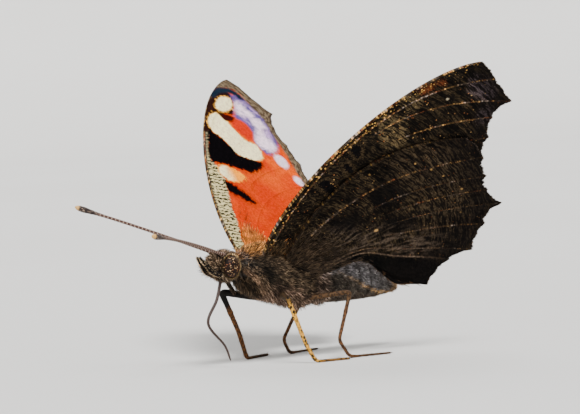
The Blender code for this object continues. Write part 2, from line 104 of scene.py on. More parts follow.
# Vein rows: name, place on the root line, tip, bearings at root and tip, handles, ridge start, scallop
FOREWING_ROOT = ((-1.6, 0.3), (1.5, 0.3))
FOREWING_VEINS = (
    ("costa", 0.00, (10.0, 28.42), -17.4, 65.0, 0.28, 0.26, 0.00, -0.20),
    ("radius", 0.14, (12.5, 26.9), -8.0, 72.0, 0.33, 0.38, 0.00, 0.00),
    ("median_1", 0.26, (15.58, 24.92), -2.1, 78.0, 0.37, 0.51, 0.50, 0.40),
    ("median_2", 0.39, (14.6, 22.6), 0.1, 68.0, 0.53, 0.32, 0.52, 0.30),
    ("median_3", 0.52, (15.5, 20.15), 3.4, 66.0, 0.54, 0.53, 0.50, 0.35),
    ("cubitus_1", 0.64, (16.3, 17.6), 9.0, 66.0, 0.50, 0.45, 0.38, 0.30),
    ("cubitus_2", 0.76, (16.6, 14.5), 18.0, 68.0, 0.45, 0.42, 0.00, 0.25),
    ("anal", 0.90, (16.0, 11.5), 34.0, 70.0, 0.40, 0.40, 0.00, 0.10),
    ("inner_edge", 1.00, (14.7, 9.6), 48.0, 66.0, 0.36, 0.36, 0.00, 0.00),
)
HINDWING_ROOT = ((0.8, 0.3), (4.3, 0.2))
HINDWING_VEINS = (
    ("costa", 0.00, (12.9, 19.6), -3.0, 72.0, 0.45, 0.40, 0.00, -0.35),
    ("radial_sector", 0.14, (15.4, 18.25), 6.0, 66.0, 0.42, 0.40, 0.00, 0.25),
    ("median_1", 0.27, (16.78, 16.3), 18.0, 66.0, 0.40, 0.38, 0.36, 0.30),
    ("median_2", 0.39, (17.8, 14.75), 28.0, 68.0, 0.38, 0.36, 0.42, 0.35),
    ("median_3", 0.50, (20.13, 13.7), 37.0, 70.0, 0.38, 0.36, 0.42, 0.55),
    ("cubitus_1", 0.60, (19.65, 10.7), 45.0, 74.0, 0.36, 0.36, 0.38, 0.35),
    ("cubitus_2", 0.70, (20.05, 7.25), 54.0, 80.0, 0.34, 0.36, 0.00, 0.35),
    ("anal_1", 0.80, (18.2, 5.4), 62.0, 86.0, 0.34, 0.36, 0.00, 0.25),
    ("anal_2", 0.90, (16.75, 2.05), 72.0, 92.0, 0.34, 0.36, 0.00, 0.20),
    ("inner_edge", 1.00, (13.3, 1.2), 78.0, 96.0, 0.34, 0.36, 0.00, 0.00),
)

# Trunk: place along the body, height of the middle, half width, half height, depth of the coat
TRUNK = (
    (-6.85, -0.71, 0.30, 0.40, 0.10),
    (-6.6, -0.72, 0.78, 0.95, 0.22),
    (-6.0, -0.74, 1.20, 1.40, 0.34),
    (-5.3, -0.74, 1.38, 1.60, 0.36),
    (-4.75, -0.72, 1.30, 1.50, 0.36),
    (-4.05, -0.69, 1.14, 1.30, 0.32),
    (-3.2, -0.70, 1.38, 1.53, 0.40),
    (-2.3, -0.74, 1.95, 2.10, 0.50),
    (-1.0, -0.78, 2.45, 2.58, 0.56),
    (0.6, -0.88, 2.65, 2.82, 0.58),
    (2.2, -1.10, 2.60, 2.85, 0.58),
    (3.6, -1.45, 2.35, 2.70, 0.52),
    (4.8, -1.72, 2.00, 2.42, 0.40),
    (5.8, -1.76, 1.70, 2.06, 0.28),
    (7.0, -1.66, 2.02, 2.28, 0.22),
    (9.0, -1.42, 2.25, 2.35, 0.20),
    (11.5, -1.20, 2.20, 2.27, 0.18),
    (13.6, -1.15, 1.88, 1.98, 0.18),
    (15.4, -1.19, 1.45, 1.58, 0.18),
    (16.8, -1.30, 0.98, 1.08, 0.16),
    (17.6, -1.45, 0.55, 0.62, 0.12),
    (17.85, -1.52, 0.22, 0.26, 0.06),
)
ABDOMEN_RINGS = (5.9, 7.5, 9.25, 11.0, 12.7, 14.3, 15.7, 16.9, 17.95)
EYE_CENTRE = (-5.2, 1.22, -0.78)
EYE_RADII = (1.0, 0.83, 1.10)

# Feelers, mouthparts and legs: points of the route and radius at given shares of its length
ANTENNA_ROUTES = {
    "left": ((-5.3, -0.5, 0.3), (-9.6, -2.5, 0.85), (-14.6, -5.0, 1.25), (-19.7, -7.5, 1.4)),
    "right": ((-5.3, 0.5, 0.3), (-9.8, 1.7, 1.55), (-15.0, 3.35, 2.95), (-20.3, 5.2, 4.3)),
}
ANTENNA_RADII = (
    (0.0, 0.18), (0.05, 0.25), (0.08, 0.18), (0.10, 0.15), (0.80, 0.15), (0.86, 0.18),
    (0.90, 0.24), (0.94, 0.30), (0.97, 0.29), (0.99, 0.20), (0.998, 0.09),
)
PALP_ROUTE = ((-5.7, 0.66, -1.75), (-6.9, 0.60, -1.45), (-7.75, 0.42, -0.78), (-8.4, 0.26, -0.12))
PALP_RADII = ((0.0, 0.28), (0.35, 0.28), (0.7, 0.15), (0.97, 0.05), (1.0, 0.02))
PROBOSCIS_ROUTE = (
    (-5.45, 0.0, -1.9), (-5.85, 0.0, -4.2), (-6.75, 0.05, -6.7), (-4.5, 0.1, -8.8), (-3.6, 0.1, -10.35),
)
PROBOSCIS_RADII = ((0.0, 0.17), (0.5, 0.15), (0.95, 0.11), (1.0, 0.05))
FORELEG_ROUTE = ((-3.3, 0.8, -1.0), (-3.55, 1.85, -1.25), (-2.75, 2.6, -2.05), (-1.8, 2.55, -3.3))
FORELEG_RADII = ((0.0, 0.15), (0.35, 0.17), (0.75, 0.13), (1.0, 0.06))
LEG_RADII = (
    (0.0, 0.22), (0.10, 0.34), (0.24, 0.33), (0.36, 0.25), (0.40, 0.25), (0.425, 0.28), (0.46, 0.23),
    (0.60, 0.22), (0.74, 0.20), (0.755, 0.22), (0.78, 0.155), (1.0, 0.125),
)
LEGS = {
    "mid_left": ((1.5, -1.1, -3.3), (-1.0, -5.5, -3.8), (1.75, -5.5, -8.45), (0.95, -5.6), (4.6, -6.6)),
    "mid_right": ((1.5, 1.2, -3.75), (-2.3, 4.0, -3.3), (0.9, 4.9, -7.3), (0.55, 5.45), (4.3, 6.7)),
    "hind_left": ((4.0, -1.0, -3.7), (8.4, -4.0, -2.6), (6.4, -5.0, -7.7), (5.6, -5.4), (10.2, -6.5)),
    "hind_right": ((4.0, 1.0, -3.7), (8.7, 3.9, -2.75), (7.0, 5.0, -7.9), (6.2, 5.35), (10.8, 6.3)),
}
SLENDER = {"mid_left": 0.95, "mid_right": 1.12, "hind_left": 0.8, "hind_right": 0.8}


def colour(red, green, blue):
    """A screen colour, 0 to 255, as the linear light that the shaders use."""
    screen = np.array([red, green, blue]) / 255
    return np.where(screen < 0.04045, screen / 12.92, ((screen + 0.055) / 1.055) ** 2.4)


def to_row(points):
    """Body frame in millimetres to row frame in metres: a turn about Y by the pitch, then the stance's
    shift."""
    points = np.asarray(points, float)
    c, s = math.cos(BODY_PITCH), math.sin(BODY_PITCH)
    x = points[..., 0] * c + points[..., 2] * s + SLIDE
    z = -points[..., 0] * s + points[..., 2] * c + HINGE_HEIGHT
    return np.stack([x, points[..., 1], z], axis=-1) * MM


def to_body(row):
    """The way back, for a point given over the floor in millimetres."""
    c, s = math.cos(BODY_PITCH), math.sin(BODY_PITCH)
    x, z = row[0] - SLIDE, row[2] - HINGE_HEIGHT
    return np.array([x * c - z * s, row[1], x * s + z * c])


def unit(vectors):
    """Vectors divided by their own lengths."""
    return vectors / np.maximum(np.linalg.norm(vectors, axis=-1, keepdims=True), 1e-9)


def piece(name, points, face_sets, materials, fields=None, tints=None, maps=None, which=None):
    """A mesh from whole arrays: body-frame points, arrays of quads or triangles, point fields, point colours
    and UV maps, with a material number for each face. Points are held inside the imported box."""
    mesh = bpy.data.meshes.new(name)
    low, high = np.array(CAD_SIZE[0]) + BOX_MARGIN, np.array(CAD_SIZE[1]) - BOX_MARGIN
    points = np.clip(to_row(points), low, high)
    mesh.vertices.add(len(points))
    mesh.vertices.foreach_set("co", points.astype(np.float32).ravel())
    corners = np.concatenate([faces.ravel() for faces in face_sets]).astype(np.int32)
    sizes = np.concatenate([np.full(len(faces), faces.shape[1]) for faces in face_sets])
    mesh.loops.add(len(corners))
    mesh.loops.foreach_set("vertex_index", corners)
    mesh.polygons.add(len(sizes))
    mesh.polygons.foreach_set("loop_start", (np.cumsum(sizes) - sizes).astype(np.int32))
    for material in materials:
        mesh.materials.append(material)
    if which is not None:
        mesh.polygons.foreach_set("material_index", which.astype(np.int32))
    mesh.update(calc_edges=True)
    mesh.validate()
    for field, values in (fields or {}).items():
        layer = mesh.attributes.new(field, "FLOAT", "POINT")
        layer.data.foreach_set("value", values.astype(np.float32).ravel())
    for field, values in (tints or {}).items():
        rgba = np.concatenate([values, np.ones((len(values), 1))], axis=1).astype(np.float32)
        layer = mesh.attributes.new(field, "FLOAT_COLOR", "POINT")
        layer.data.foreach_set("color", rgba.ravel())
    for field, values in (maps or {}).items():
        layer = mesh.uv_layers.new(name=field)
        layer.data.foreach_set("uv", values[corners].astype(np.float32).ravel())
    mesh.shade_smooth()
    obj = bpy.data.objects.new(name, mesh)
    bpy.context.scene.collection.objects.link(obj)
    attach(obj, "root")
    return obj


def grid_faces(rows, columns, around=False):
    """Quads over a grid of points; around joins the last column to the first."""
    across = columns if around else columns - 1
    row, column = np.meshgrid(np.arange(rows - 1), np.arange(across), indexing="ij")
    after = (column + 1) % columns
    a, b = row * columns + column, row * columns + after
    return np.stack([a, b, b + columns, a + columns], axis=-1).reshape(-1, 4)


def smooth_rows(rows, count):
    """Catmull-Rom arcs through the rows of a table, at evenly spaced steps."""
    rows = np.asarray(rows, float)
    ends = np.vstack([2 * rows[0] - rows[1], rows, 2 * rows[-1] - rows[-2]])
    at = np.linspace(0, len(rows) - 1, count)
    cell = np.minimum(at.astype(int), len(rows) - 2)
    t = (at - cell)[:, None]
    a, b, c, d = (ends[cell + k] for k in range(4))
    return 0.5 * (2 * b + (c - a) * t + (2 * a - 5 * b + 4 * c - d) * t**2 + (3 * b - a - 3 * c + d) * t**3)


def closed_curve(corners, per_side=6):
    """A smooth closed outline through the corners: Catmull-Rom arcs that run on past the join."""
    corners = np.asarray(corners, float)
    wrapped = np.vstack([corners[-2:], corners, corners[:3]])
    rows = smooth_rows(wrapped, per_side * (len(wrapped) - 1) + 1)
    return rows[2 * per_side: (2 + len(corners)) * per_side]


def distance_to(places, line, closed=False):
    """Least distance from each place to a line of points in the plane."""
    starts = line if closed else line[:-1]
    ends = np.roll(line, -1, axis=0) if closed else line[1:]
    run = ends - starts
    best = np.full(len(places), 1e9)
    for start, step in zip(starts, run):
        share = np.clip(((places - start) @ step) / max(step @ step, 1e-12), 0, 1)
        gap = places - start - share[:, None] * step
        best = np.minimum(best, np.sqrt((gap**2).sum(axis=1)))
    return best


def depth_inside(places, corners, per_side=6):
    """Distance to a smooth closed outline, positive inside it: nearest side, and even-odd crossings."""
    outline = closed_curve(corners, per_side) if per_side > 1 else np.asarray(corners, float)
    inside = np.zeros(len(places), bool)
    for (x0, y0), (x1, y1) in zip(outline, np.roll(outline, -1, axis=0)):
        crosses = (y0 > places[:, 1]) != (y1 > places[:, 1])
        at = x0 + (places[:, 1] - y0) * (x1 - x0) / (y1 - y0 if y1 != y0 else 1e-12)
        inside ^= crosses & (places[:, 0] < at)
    return np.where(inside, 1, -1) * distance_to(places, outline, closed=True)


def union(places, outlines, per_side=6):
    """The deepest of several outlines at each place."""
    return np.max([depth_inside(places, outline, per_side) for outline in outlines], axis=0)


def discs(places, spots):
    """Depth inside the nearest of several spots (backward, outward, radius), a little longer backwards: the
    radius less the distance, with the backward part of it shortened."""
    squeeze = 0.85
    depths = [radius - np.hypot(squeeze * (places[:, 0] - x), places[:, 1] - y) for x, y, radius in spots]
    return np.max(depths, axis=0)


class Finish:
    """A node material with short ways to add the nodes that its pattern needs."""

    def __init__(self, name, roughness, specular):
        self.material = bpy.data.materials.new(name)
        self.material.use_nodes = True
        self.tree = self.material.node_tree
        self.shader = self.tree.nodes["Principled BSDF"]
        self.shader.inputs["Roughness"].default_value = roughness
        self.shader.inputs["Specular IOR Level"].default_value = specular

    def node(self, kind, settings=None, **inputs):
        """A shader node with its settings and inputs filled in; i0 and i1 are inputs by number."""
        node = self.tree.nodes.new("ShaderNode" + kind)
        for key, value in (settings or {}).items():
            setattr(node, key, value)
        for key, value in inputs.items():
            name = int(key[1:]) if key[0] == "i" and key[1:].isdigit() else key.replace("_", " ")
            self.feed(node.inputs[name], value)
        return node

    def feed(self, socket, value):
        """Links a socket to another node's output, or gives it a colour, a vector or a number."""
        if isinstance(value, bpy.types.NodeSocket):
            self.tree.links.new(value, socket)
        elif isinstance(value, (tuple, list, np.ndarray)) and socket.type == "RGBA":
            socket.default_value = (*value[:3], 1.0)
        elif isinstance(value, (tuple, list, np.ndarray)):
            socket.default_value = tuple(value)
        else:
            socket.default_value = value

    def field(self, name):
        """A number that the mesh carries at each point."""
        return self.node("Attribute", {"attribute_name": name}).outputs["Fac"]

    def tint(self, name):
        """A colour that the mesh carries at each point."""
        return self.node("Attribute", {"attribute_name": name}).outputs["Color"]

    def place(self, stretch=(1, 1, 1)):
        """Object coordinates in millimetres, stretched along its axes."""
        scale = tuple(1000 * s for s in stretch)
        source = self.node("TexCoord").outputs["Object"]
        return self.node("Mapping", Vector=source, Scale=scale).outputs["Vector"]

    def join(self, x, y, z=0.0):
        """A vector made of separate numbers."""
        return self.node("CombineXYZ", X=x, Y=y, Z=z).outputs["Vector"]

    def noise(self, vector, scale, detail=2.0, roughness=0.5):
        """Smooth noise from 0 to 1."""
        node = self.node("TexNoise", Vector=vector, Scale=scale, Detail=detail, Roughness=roughness)
        return node.outputs["Fac"]

    def cells(self, vector, scale, output="Distance"):
        """The distance to the nearest of many scattered points, or that point's random colour."""
        node = self.node("TexVoronoi", Vector=vector, Scale=scale, Randomness=1.0)
        return node.outputs[output]

    def sum(self, a, b):
        """Two numbers added."""
        return self.node("Math", {"operation": "ADD"}, i0=a, i1=b).outputs[0]

    def times(self, a, b):
        """Two numbers multiplied."""
        return self.node("Math", {"operation": "MULTIPLY"}, i0=a, i1=b).outputs[0]

    def sine(self, a):
        """The sine of an angle in radians."""
        return self.node("Math", {"operation": "SINE"}, i0=a).outputs[0]

    def step(self, value, low, high, to_low=0.0, to_high=1.0):
        """A smooth step from to_low to to_high as the value goes from low to high."""
        node = self.node("MapRange", {"interpolation_type": "SMOOTHSTEP"}, Value=value)
        for key, number in (("From Min", low), ("From Max", high), ("To Min", to_low), ("To Max", to_high)):
            node.inputs[key].default_value = number
        return node.outputs["Result"]

    def mix(self, share, under, over):
        """Two colours blended by a share of the upper one."""
        node = self.node("Mix", {"data_type": "RGBA"})
        self.feed(node.inputs[0], share)
        self.feed(node.inputs[6], under)
        self.feed(node.inputs[7], over)
        return node.outputs[2]

    def shade_by(self, base, amount):
        """Lightens or darkens a colour by a factor."""
        node = self.node("Mix", {"data_type": "RGBA", "blend_type": "MULTIPLY"})
        node.inputs[0].default_value = 1.0
        self.feed(node.inputs[6], base)
        grey = self.node("CombineColor", Red=amount, Green=amount, Blue=amount).outputs["Color"]
        self.feed(node.inputs[7], grey)
        return node.outputs[2]

    def paint(self, base, depth, shade, soft=0.12, wobble=None, shift=0.0):
        """Lays a shade where a depth field, moved by a wobble, is positive."""
        value = depth if wobble is None else self.sum(depth, wobble)
        return self.mix(self.step(value, shift - soft, shift + soft), base, shade)

    def relief(self, height, distance, strength):
        """Bumps of a height field, its full range standing for a distance in millimetres."""
        node = self.node("Bump", Height=height)
        node.inputs["Strength"].default_value = strength
        node.inputs["Distance"].default_value = distance * MM
        self.tree.links.new(node.outputs["Normal"], self.shader.inputs["Normal"])

    def coat(self, base):
        """Gives the shader its colour and hands back the finished material."""
        self.tree.links.new(base, self.shader.inputs["Base Color"])
        return self.material


def bearing(degrees):
    """The direction (sine, cosine) in the wing's plane, turned backwards from straight outwards."""
    turn = math.radians(degrees)
    return np.array([math.sin(turn), math.cos(turn)])


def vein_arcs(root, veins, rows):
    """The cubic arc of every vein from the root line to its tip: rows by veins by two."""
    share = np.linspace(0, 1, rows)[:, None]
    front, rear = (np.array(end) for end in root)
    arcs = []
    for _, place, tip, leave, arrive, near, far, _, _ in veins:
        start, tip = front + (rear - front) * place, np.array(tip)
        span = np.linalg.norm(tip - start)
        first = start + bearing(leave) * near * span
        second = tip - bearing(arrive) * far * span
        arcs.append(
            (1 - share) ** 3 * start + 3 * (1 - share) ** 2 * share * first
            + 3 * (1 - share) * share**2 * second + share**3 * tip
        )
    return np.stack(arcs, axis=1)


def ragged_inset(at, phase):
    """How far the edge is drawn in at a place counted in cells: two cosine teeth to a cell, made uneven by a
    slow sine in their phase, and a quick sine that frays the hollows between them."""
    teeth = 0.5 - 0.5 * np.cos(4 * math.pi * at + 1.1 * np.sin(2.3 * at + phase))
    fray = np.sin(37.0 * at + 2.0 * np.sin(11.0 * at))
    return EDGE_INSET + TOOTH_DEPTH * teeth + FRAY_DEPTH * fray * teeth


def wing_plan(root, veins):
    """A fine grid over the wing: straight runs between neighbouring vein arcs, with the edge drawn in on a
    parabola between two tips and again by small uneven teeth. Also gives, at each point, the ridge of the
    nearest vein as a bell curve of the distance to it, the pleat of the cell as a half sine, and the place
    counted in cells from the front."""
    arcs = vein_arcs(root, veins, WING_ROWS)
    share = np.linspace(0, 1, WING_ROWS)
    in_scallops = np.clip((share - SCALLOPS_START) / (1 - SCALLOPS_START), 0, 1)[:, None, None] ** 2
    in_teeth = np.clip((share - TEETH_START) / (1 - TEETH_START), 0, 1)[:, None, None] ** 2
    plans, ridges, pleats, cells = [], [], [], []
    for number, vein in enumerate(veins[:-1]):
        here, after = arcs[:, number], arcs[:, number + 1]
        last = number == len(veins) - 2
        part = np.linspace(0, 1, CELL_COLUMNS + last, endpoint=last)[None]
        line = here[:, None] + (after - here)[:, None] * part[..., None]
        inward = unit(here[-2] - here[-1] + after[-2] - after[-1])
        scallop = vein[8] * 4 * part * (1 - part)
        line = line + in_scallops * scallop[..., None] * inward
        line = line + in_teeth * ragged_inset(number + part, root[0][0])[..., None] * inward
        width = np.linalg.norm(after - here, axis=1)[:, None]
        ridge = np.zeros((WING_ROWS, part.shape[1]))
        for gap, starts in ((part * width, vein[7]), ((1 - part) * width, veins[number + 1][7])):
            risen = np.clip((share - starts) / VEIN_RUN_IN + (starts == 0), 0, 1)[:, None]
            ridge = np.maximum(ridge, risen * np.exp(-(gap / VEIN_WIDTH) ** 2))
        plans.append(line)
        ridges.append(ridge)
        pleats.append(np.sin(math.pi * part) * np.clip(width / PLEAT_FULL_WIDTH, 0, 1) * (-1) ** number)
        cells.append(number + part + 0 * width)
    return tuple(np.concatenate(parts, axis=1) for parts in (plans, ridges, pleats, cells))


def with_bay(plan):
    """Draws the hindwing's inner edge outwards in a bay round the abdomen: a bell curve of the place
    backwards, fading exponentially with the distance outwards from the edge."""
    back, out = plan[..., 0], plan[..., 1]
    edge = np.interp(back, plan[:, -1, 0], plan[:, -1, 1])
    beside = np.exp(-(((back - BAY_CENTRE) / BAY_REACH) ** 2))
    faded = np.exp(-np.maximum(out - edge, 0) / BAY_FADE)
    return np.stack([back, out + BAY_DEPTH * beside * faded], axis=-1)


def fold_line(back):
    """How far out the hindwing's fold runs: rising from the root towards its full height, exponentially."""
    return FOLD_HEIGHT * (1 - np.exp(-np.maximum(back, 0) / FOLD_REACH))


def wing_upward(sign):
    """The direction that a wing's upper side faces."""
    return np.array([0, -sign * math.cos(WING_OPENING), math.sin(WING_OPENING)])


def wing_place(plan, lift, sign, folded):
    """Carries a plan (backward, outward) and a height over the wing's plane into the body's frame: a shallow
    parabola bows the plane, and inside the fold line the hindwing turns down along the abdomen."""
    back, out = plan[..., 0], plan[..., 1]
    bow = -WING_CAMBER * ((back - CAMBER_CENTRE) / CAMBER_REACH) ** 2
    if folded:
        inside = FOLD_SOFTNESS * np.logaddexp(0, (fold_line(back) - out) / FOLD_SOFTNESS)
        out = out + inside * (1 - math.cos(FOLD_ANGLE))
        bow = bow - inside * math.sin(FOLD_ANGLE)
    outward = np.array([0, sign * math.sin(WING_OPENING), math.cos(WING_OPENING)])
    upper = wing_upward(sign)
    backward = np.array([math.cos(WING_TWIST), 0, 0]) + math.sin(WING_TWIST) * upper
    hinge = np.array([0, sign * HINGE_HALF_SPACING, 0])
    return hinge + back[..., None] * backward + out[..., None] * outward + (bow + lift)[..., None] * upper


# Wing markings, as outlines in the wing's plan (backward, outward)
FORE_COSTAL = (
    (-3.4, 1.0), (-2.7, 5.9), (-2.3, 8.6), (-0.3, 14.2), (2.0, 19.6), (2.9, 21.4), (3.3, 21.0), (2.55, 18.6),
    (1.1, 15.9), (0.8, 14.2), (1.1, 13.6), (1.15, 12.2), (1.3, 11.1), (0.8, 9.0), (0.4, 7.3), (0.2, 5.8),
    (0.0, 4.4), (-0.45, 3.0), (-0.8, 1.0),
)
FORE_BLACK = (
    (
        (1.1, 11.3), (2.0, 11.2), (2.8, 10.5), (3.8, 9.9), (4.8, 9.0), (3.8, 8.9), (2.55, 9.2), (1.5, 9.7),
        (1.0, 10.3),
    ),
    (
        (2.5, 18.9), (1.3, 16.6), (0.5, 14.5), (1.5, 13.9), (3.7, 14.0), (4.9, 13.65), (6.3, 13.6),
        (8.1, 14.5), (8.8, 15.5), (7.3, 15.7), (5.8, 16.1), (4.8, 16.9), (4.1, 17.8), (3.4, 18.5),
    ),
)
FORE_CREAM = (
    (
        (1.0, 12.9), (1.4, 13.5), (2.6, 13.9), (3.55, 13.6), (4.3, 13.1), (4.9, 12.4), (3.5, 11.6),
        (2.4, 11.5), (1.4, 11.8), (0.9, 12.3),
    ),
    (
        (3.4, 21.1), (4.6, 22.0), (5.5, 22.1), (6.1, 21.5), (6.5, 20.7), (7.0, 19.8), (7.75, 19.0),
        (8.9, 18.8), (9.7, 18.6), (9.9, 17.8), (9.5, 16.4), (8.4, 15.7), (7.2, 15.5), (6.0, 15.85),
        (4.9, 16.5), (4.3, 17.4), (3.65, 18.3), (3.0, 19.0), (2.8, 19.9),
    ),
    ((5.5, 23.4), (6.6, 24.7), (8.0, 25.3), (9.0, 25.0), (8.8, 24.1), (7.9, 23.2), (6.6, 22.6), (5.5, 22.6)),
)
FORE_EYE = (
    (7.0, 21.4), (8.0, 21.9), (9.15, 21.5), (9.8, 20.6), (9.75, 19.6), (8.8, 19.1), (7.6, 19.5), (6.8, 20.4),
)
FORE_MAROON = ((5.7, 21.9), (6.8, 22.4), (7.8, 22.1), (7.25, 21.3), (6.4, 21.2))
FORE_TIP_DARK = (
    (1.6, 18.6), (2.6, 21.4), (4.0, 23.4), (6.0, 25.4), (8.3, 26.2), (9.3, 25.6), (8.8, 24.0), (8.0, 22.6),
    (6.6, 22.4), (6.6, 21.2), (5.0, 19.5), (3.6, 19.0), (2.2, 18.6),
)
FORE_VIOLET = (
    (9.0, 25.6), (10.4, 26.2), (11.7, 25.9), (12.8, 25.0), (13.5, 23.6), (14.1, 21.7), (13.9, 20.0),
    (12.6, 18.4), (10.9, 17.3), (9.9, 18.0), (9.6, 19.3), (9.7, 20.6), (9.1, 21.5), (8.0, 22.0), (8.6, 23.2),
    (9.2, 24.3),
)
FORE_TEAL = (
    (6.0, 24.5), (7.2, 25.4), (8.6, 25.9), (9.8, 25.95), (10.8, 25.6), (11.4, 25.9), (10.0, 26.7),
    (8.5, 26.7), (7.0, 26.2), (5.7, 25.0),
)
FORE_BORDER = (
    (2.6, 21.6), (3.6, 22.8), (5.2, 24.4), (6.6, 25.7), (8.5, 26.5), (10.2, 26.6), (11.4, 26.0), (12.5, 24.4),
    (13.3, 22.4), (13.8, 20.2), (14.2, 17.7), (15.0, 14.9), (14.8, 12.2), (13.3, 9.7),
)
BEYOND_FORE_EDGE = ((18.5, 8.0), (19.5, 18.0), (18.0, 26.0), (12.0, 31.0), (4.0, 30.0), (1.0, 22.0))

# Underside markings of the forewing
FORE_OLIVE = (
    ((2.58, 19.27), (5.13, 20.23), (6.74, 17.40), (4.87, 16.32)),
    ((3.6, 22.2), (5.2, 22.9), (6.2, 22.0), (5.0, 20.9)),
)
FORE_RUST = (
    ((5.2, 23.5), (5.9, 24.5), (6.5, 24.2), (5.9, 23.2)),
    ((6.3, 24.6), (7.0, 25.3), (7.6, 24.9)),
)
FORE_GREY_TIP = (
    ((10.11, 26.56), (11.8, 26.7), (13.37, 25.57), (12.62, 24.33), (10.53, 24.77)),
    ((13.2, 23.6), (14.2, 23.2), (14.0, 21.6), (13.1, 21.9)),
)
FORE_BARS = (
    ((0.75, 15.3), (1.25, 15.03), (2.72, 14.18), (2.76, 15.22), (1.7, 16.0)),
    ((-0.4, 10.2), (0.4, 10.0), (2.1, 9.2), (2.2, 10.3), (0.6, 11.2)),
    ((1.6, 12.9), (2.9, 12.2), (3.1, 12.8), (1.9, 13.5)),
)
HIND_BLOTCHES = (
    ((5.5, 11.5), (7.5, 12.6), (9.6, 11.9), (9.0, 10.2), (6.6, 9.9)),
    ((9.2, 8.6), (11.4, 9.6), (12.4, 8.4), (10.6, 7.2)),
    ((3.2, 7.0), (5.0, 8.3), (6.4, 7.6), (5.4, 6.0), (3.6, 5.6)),
)

# Spots: backward, outward, radius
FORE_LILAC = (
    (10.0, 24.2, 0.75), (10.7, 23.4, 0.7), (11.6, 22.1, 0.9), (9.4, 23.2, 0.45), (11.4, 19.3, 1.3),
    (11.4, 20.7, 0.6),
)
FORE_SPOTS = ((12.6, 16.8, 0.92), (14.4, 14.5, 0.72))
FORE_WHITE_DOTS = (
    (8.58, 23.39, 0.15), (5.68, 12.22, 0.07), (9.70, 14.89, 0.08), (11.48, 14.83, 0.08), (11.2, 18.7, 0.11),
    (12.31, 16.66, 0.09),
)
HIND_GOLD_DOTS = (
    (8.75, 15.49, 0.08), (10.54, 15.42, 0.11), (12.11, 15.10, 0.08), (15.00, 14.04, 0.10), (16.4, 11.3, 0.08),
    (8.45, 6.84, 0.20), (4.72, 12.86, 0.09),
)
HIND_EYE_CENTRE = (12.2, 14.6)


def wing_fields(plan, ridge, cell, hind):
    """What the patterns read at each point: the vein's ridge, the distances to the outer and the front
    edge, length and angle about the root's middle, the place counted in cells, the place backwards and
    outwards, and the depth inside each marking."""
    places = plan.reshape(-1, 2)
    from_root = places - plan[0].mean(axis=0)
    fields = {
        "ridge": ridge.ravel(),
        "edge": distance_to(places, plan[-1]),
        "reach": np.hypot(*from_root.T),
        "turn": np.arctan2(from_root[:, 0], from_root[:, 1]),
        "cell": cell.ravel(),
        "back": places[:, 0],
        "out": places[:, 1],
        "costa": distance_to(places, plan[:, 0]),
    }
    if hind:
        offset = places - np.array(HIND_EYE_CENTRE)
        fields.update({
            "spot": np.hypot(offset[:, 0], offset[:, 1] * 0.92),
            "above_fold": places[:, 1] - fold_line(places[:, 0]),
            "gold_dots": discs(places, HIND_GOLD_DOTS),
            "blotch": union(places, HIND_BLOTCHES),
        })
        return fields
    fields.update({
        "costal": depth_inside(places, FORE_COSTAL),
        "black": union(places, FORE_BLACK),
        "cream": union(places, FORE_CREAM),
        "eye": depth_inside(places, FORE_EYE),
        "tip_dark": depth_inside(places, FORE_TIP_DARK),
        "maroon": depth_inside(places, FORE_MAROON),
        "violet": depth_inside(places, FORE_VIOLET),
        "lilac": discs(places, FORE_LILAC),
        "spots": discs(places, FORE_SPOTS),
        "border": depth_inside(places, FORE_BORDER + BEYOND_FORE_EDGE, 1),
        "teal": depth_inside(places, FORE_TEAL),
        "olive": union(places, FORE_OLIVE),
        "rust": union(places, FORE_RUST),
        "grey_tip": union(places, FORE_GREY_TIP),
        "bars": union(places, FORE_BARS),
        "white_dots": discs(places, FORE_WHITE_DOTS),
    })
    return fields


def scale_grain(finish, vector, per_mm):
    """A number from 0 to 1 for each wing scale: the random shade of the cell that the place lies in."""
    shade = finish.cells(vector, per_mm, "Color")
    return finish.node("SeparateColor", Color=shade).outputs["Red"]


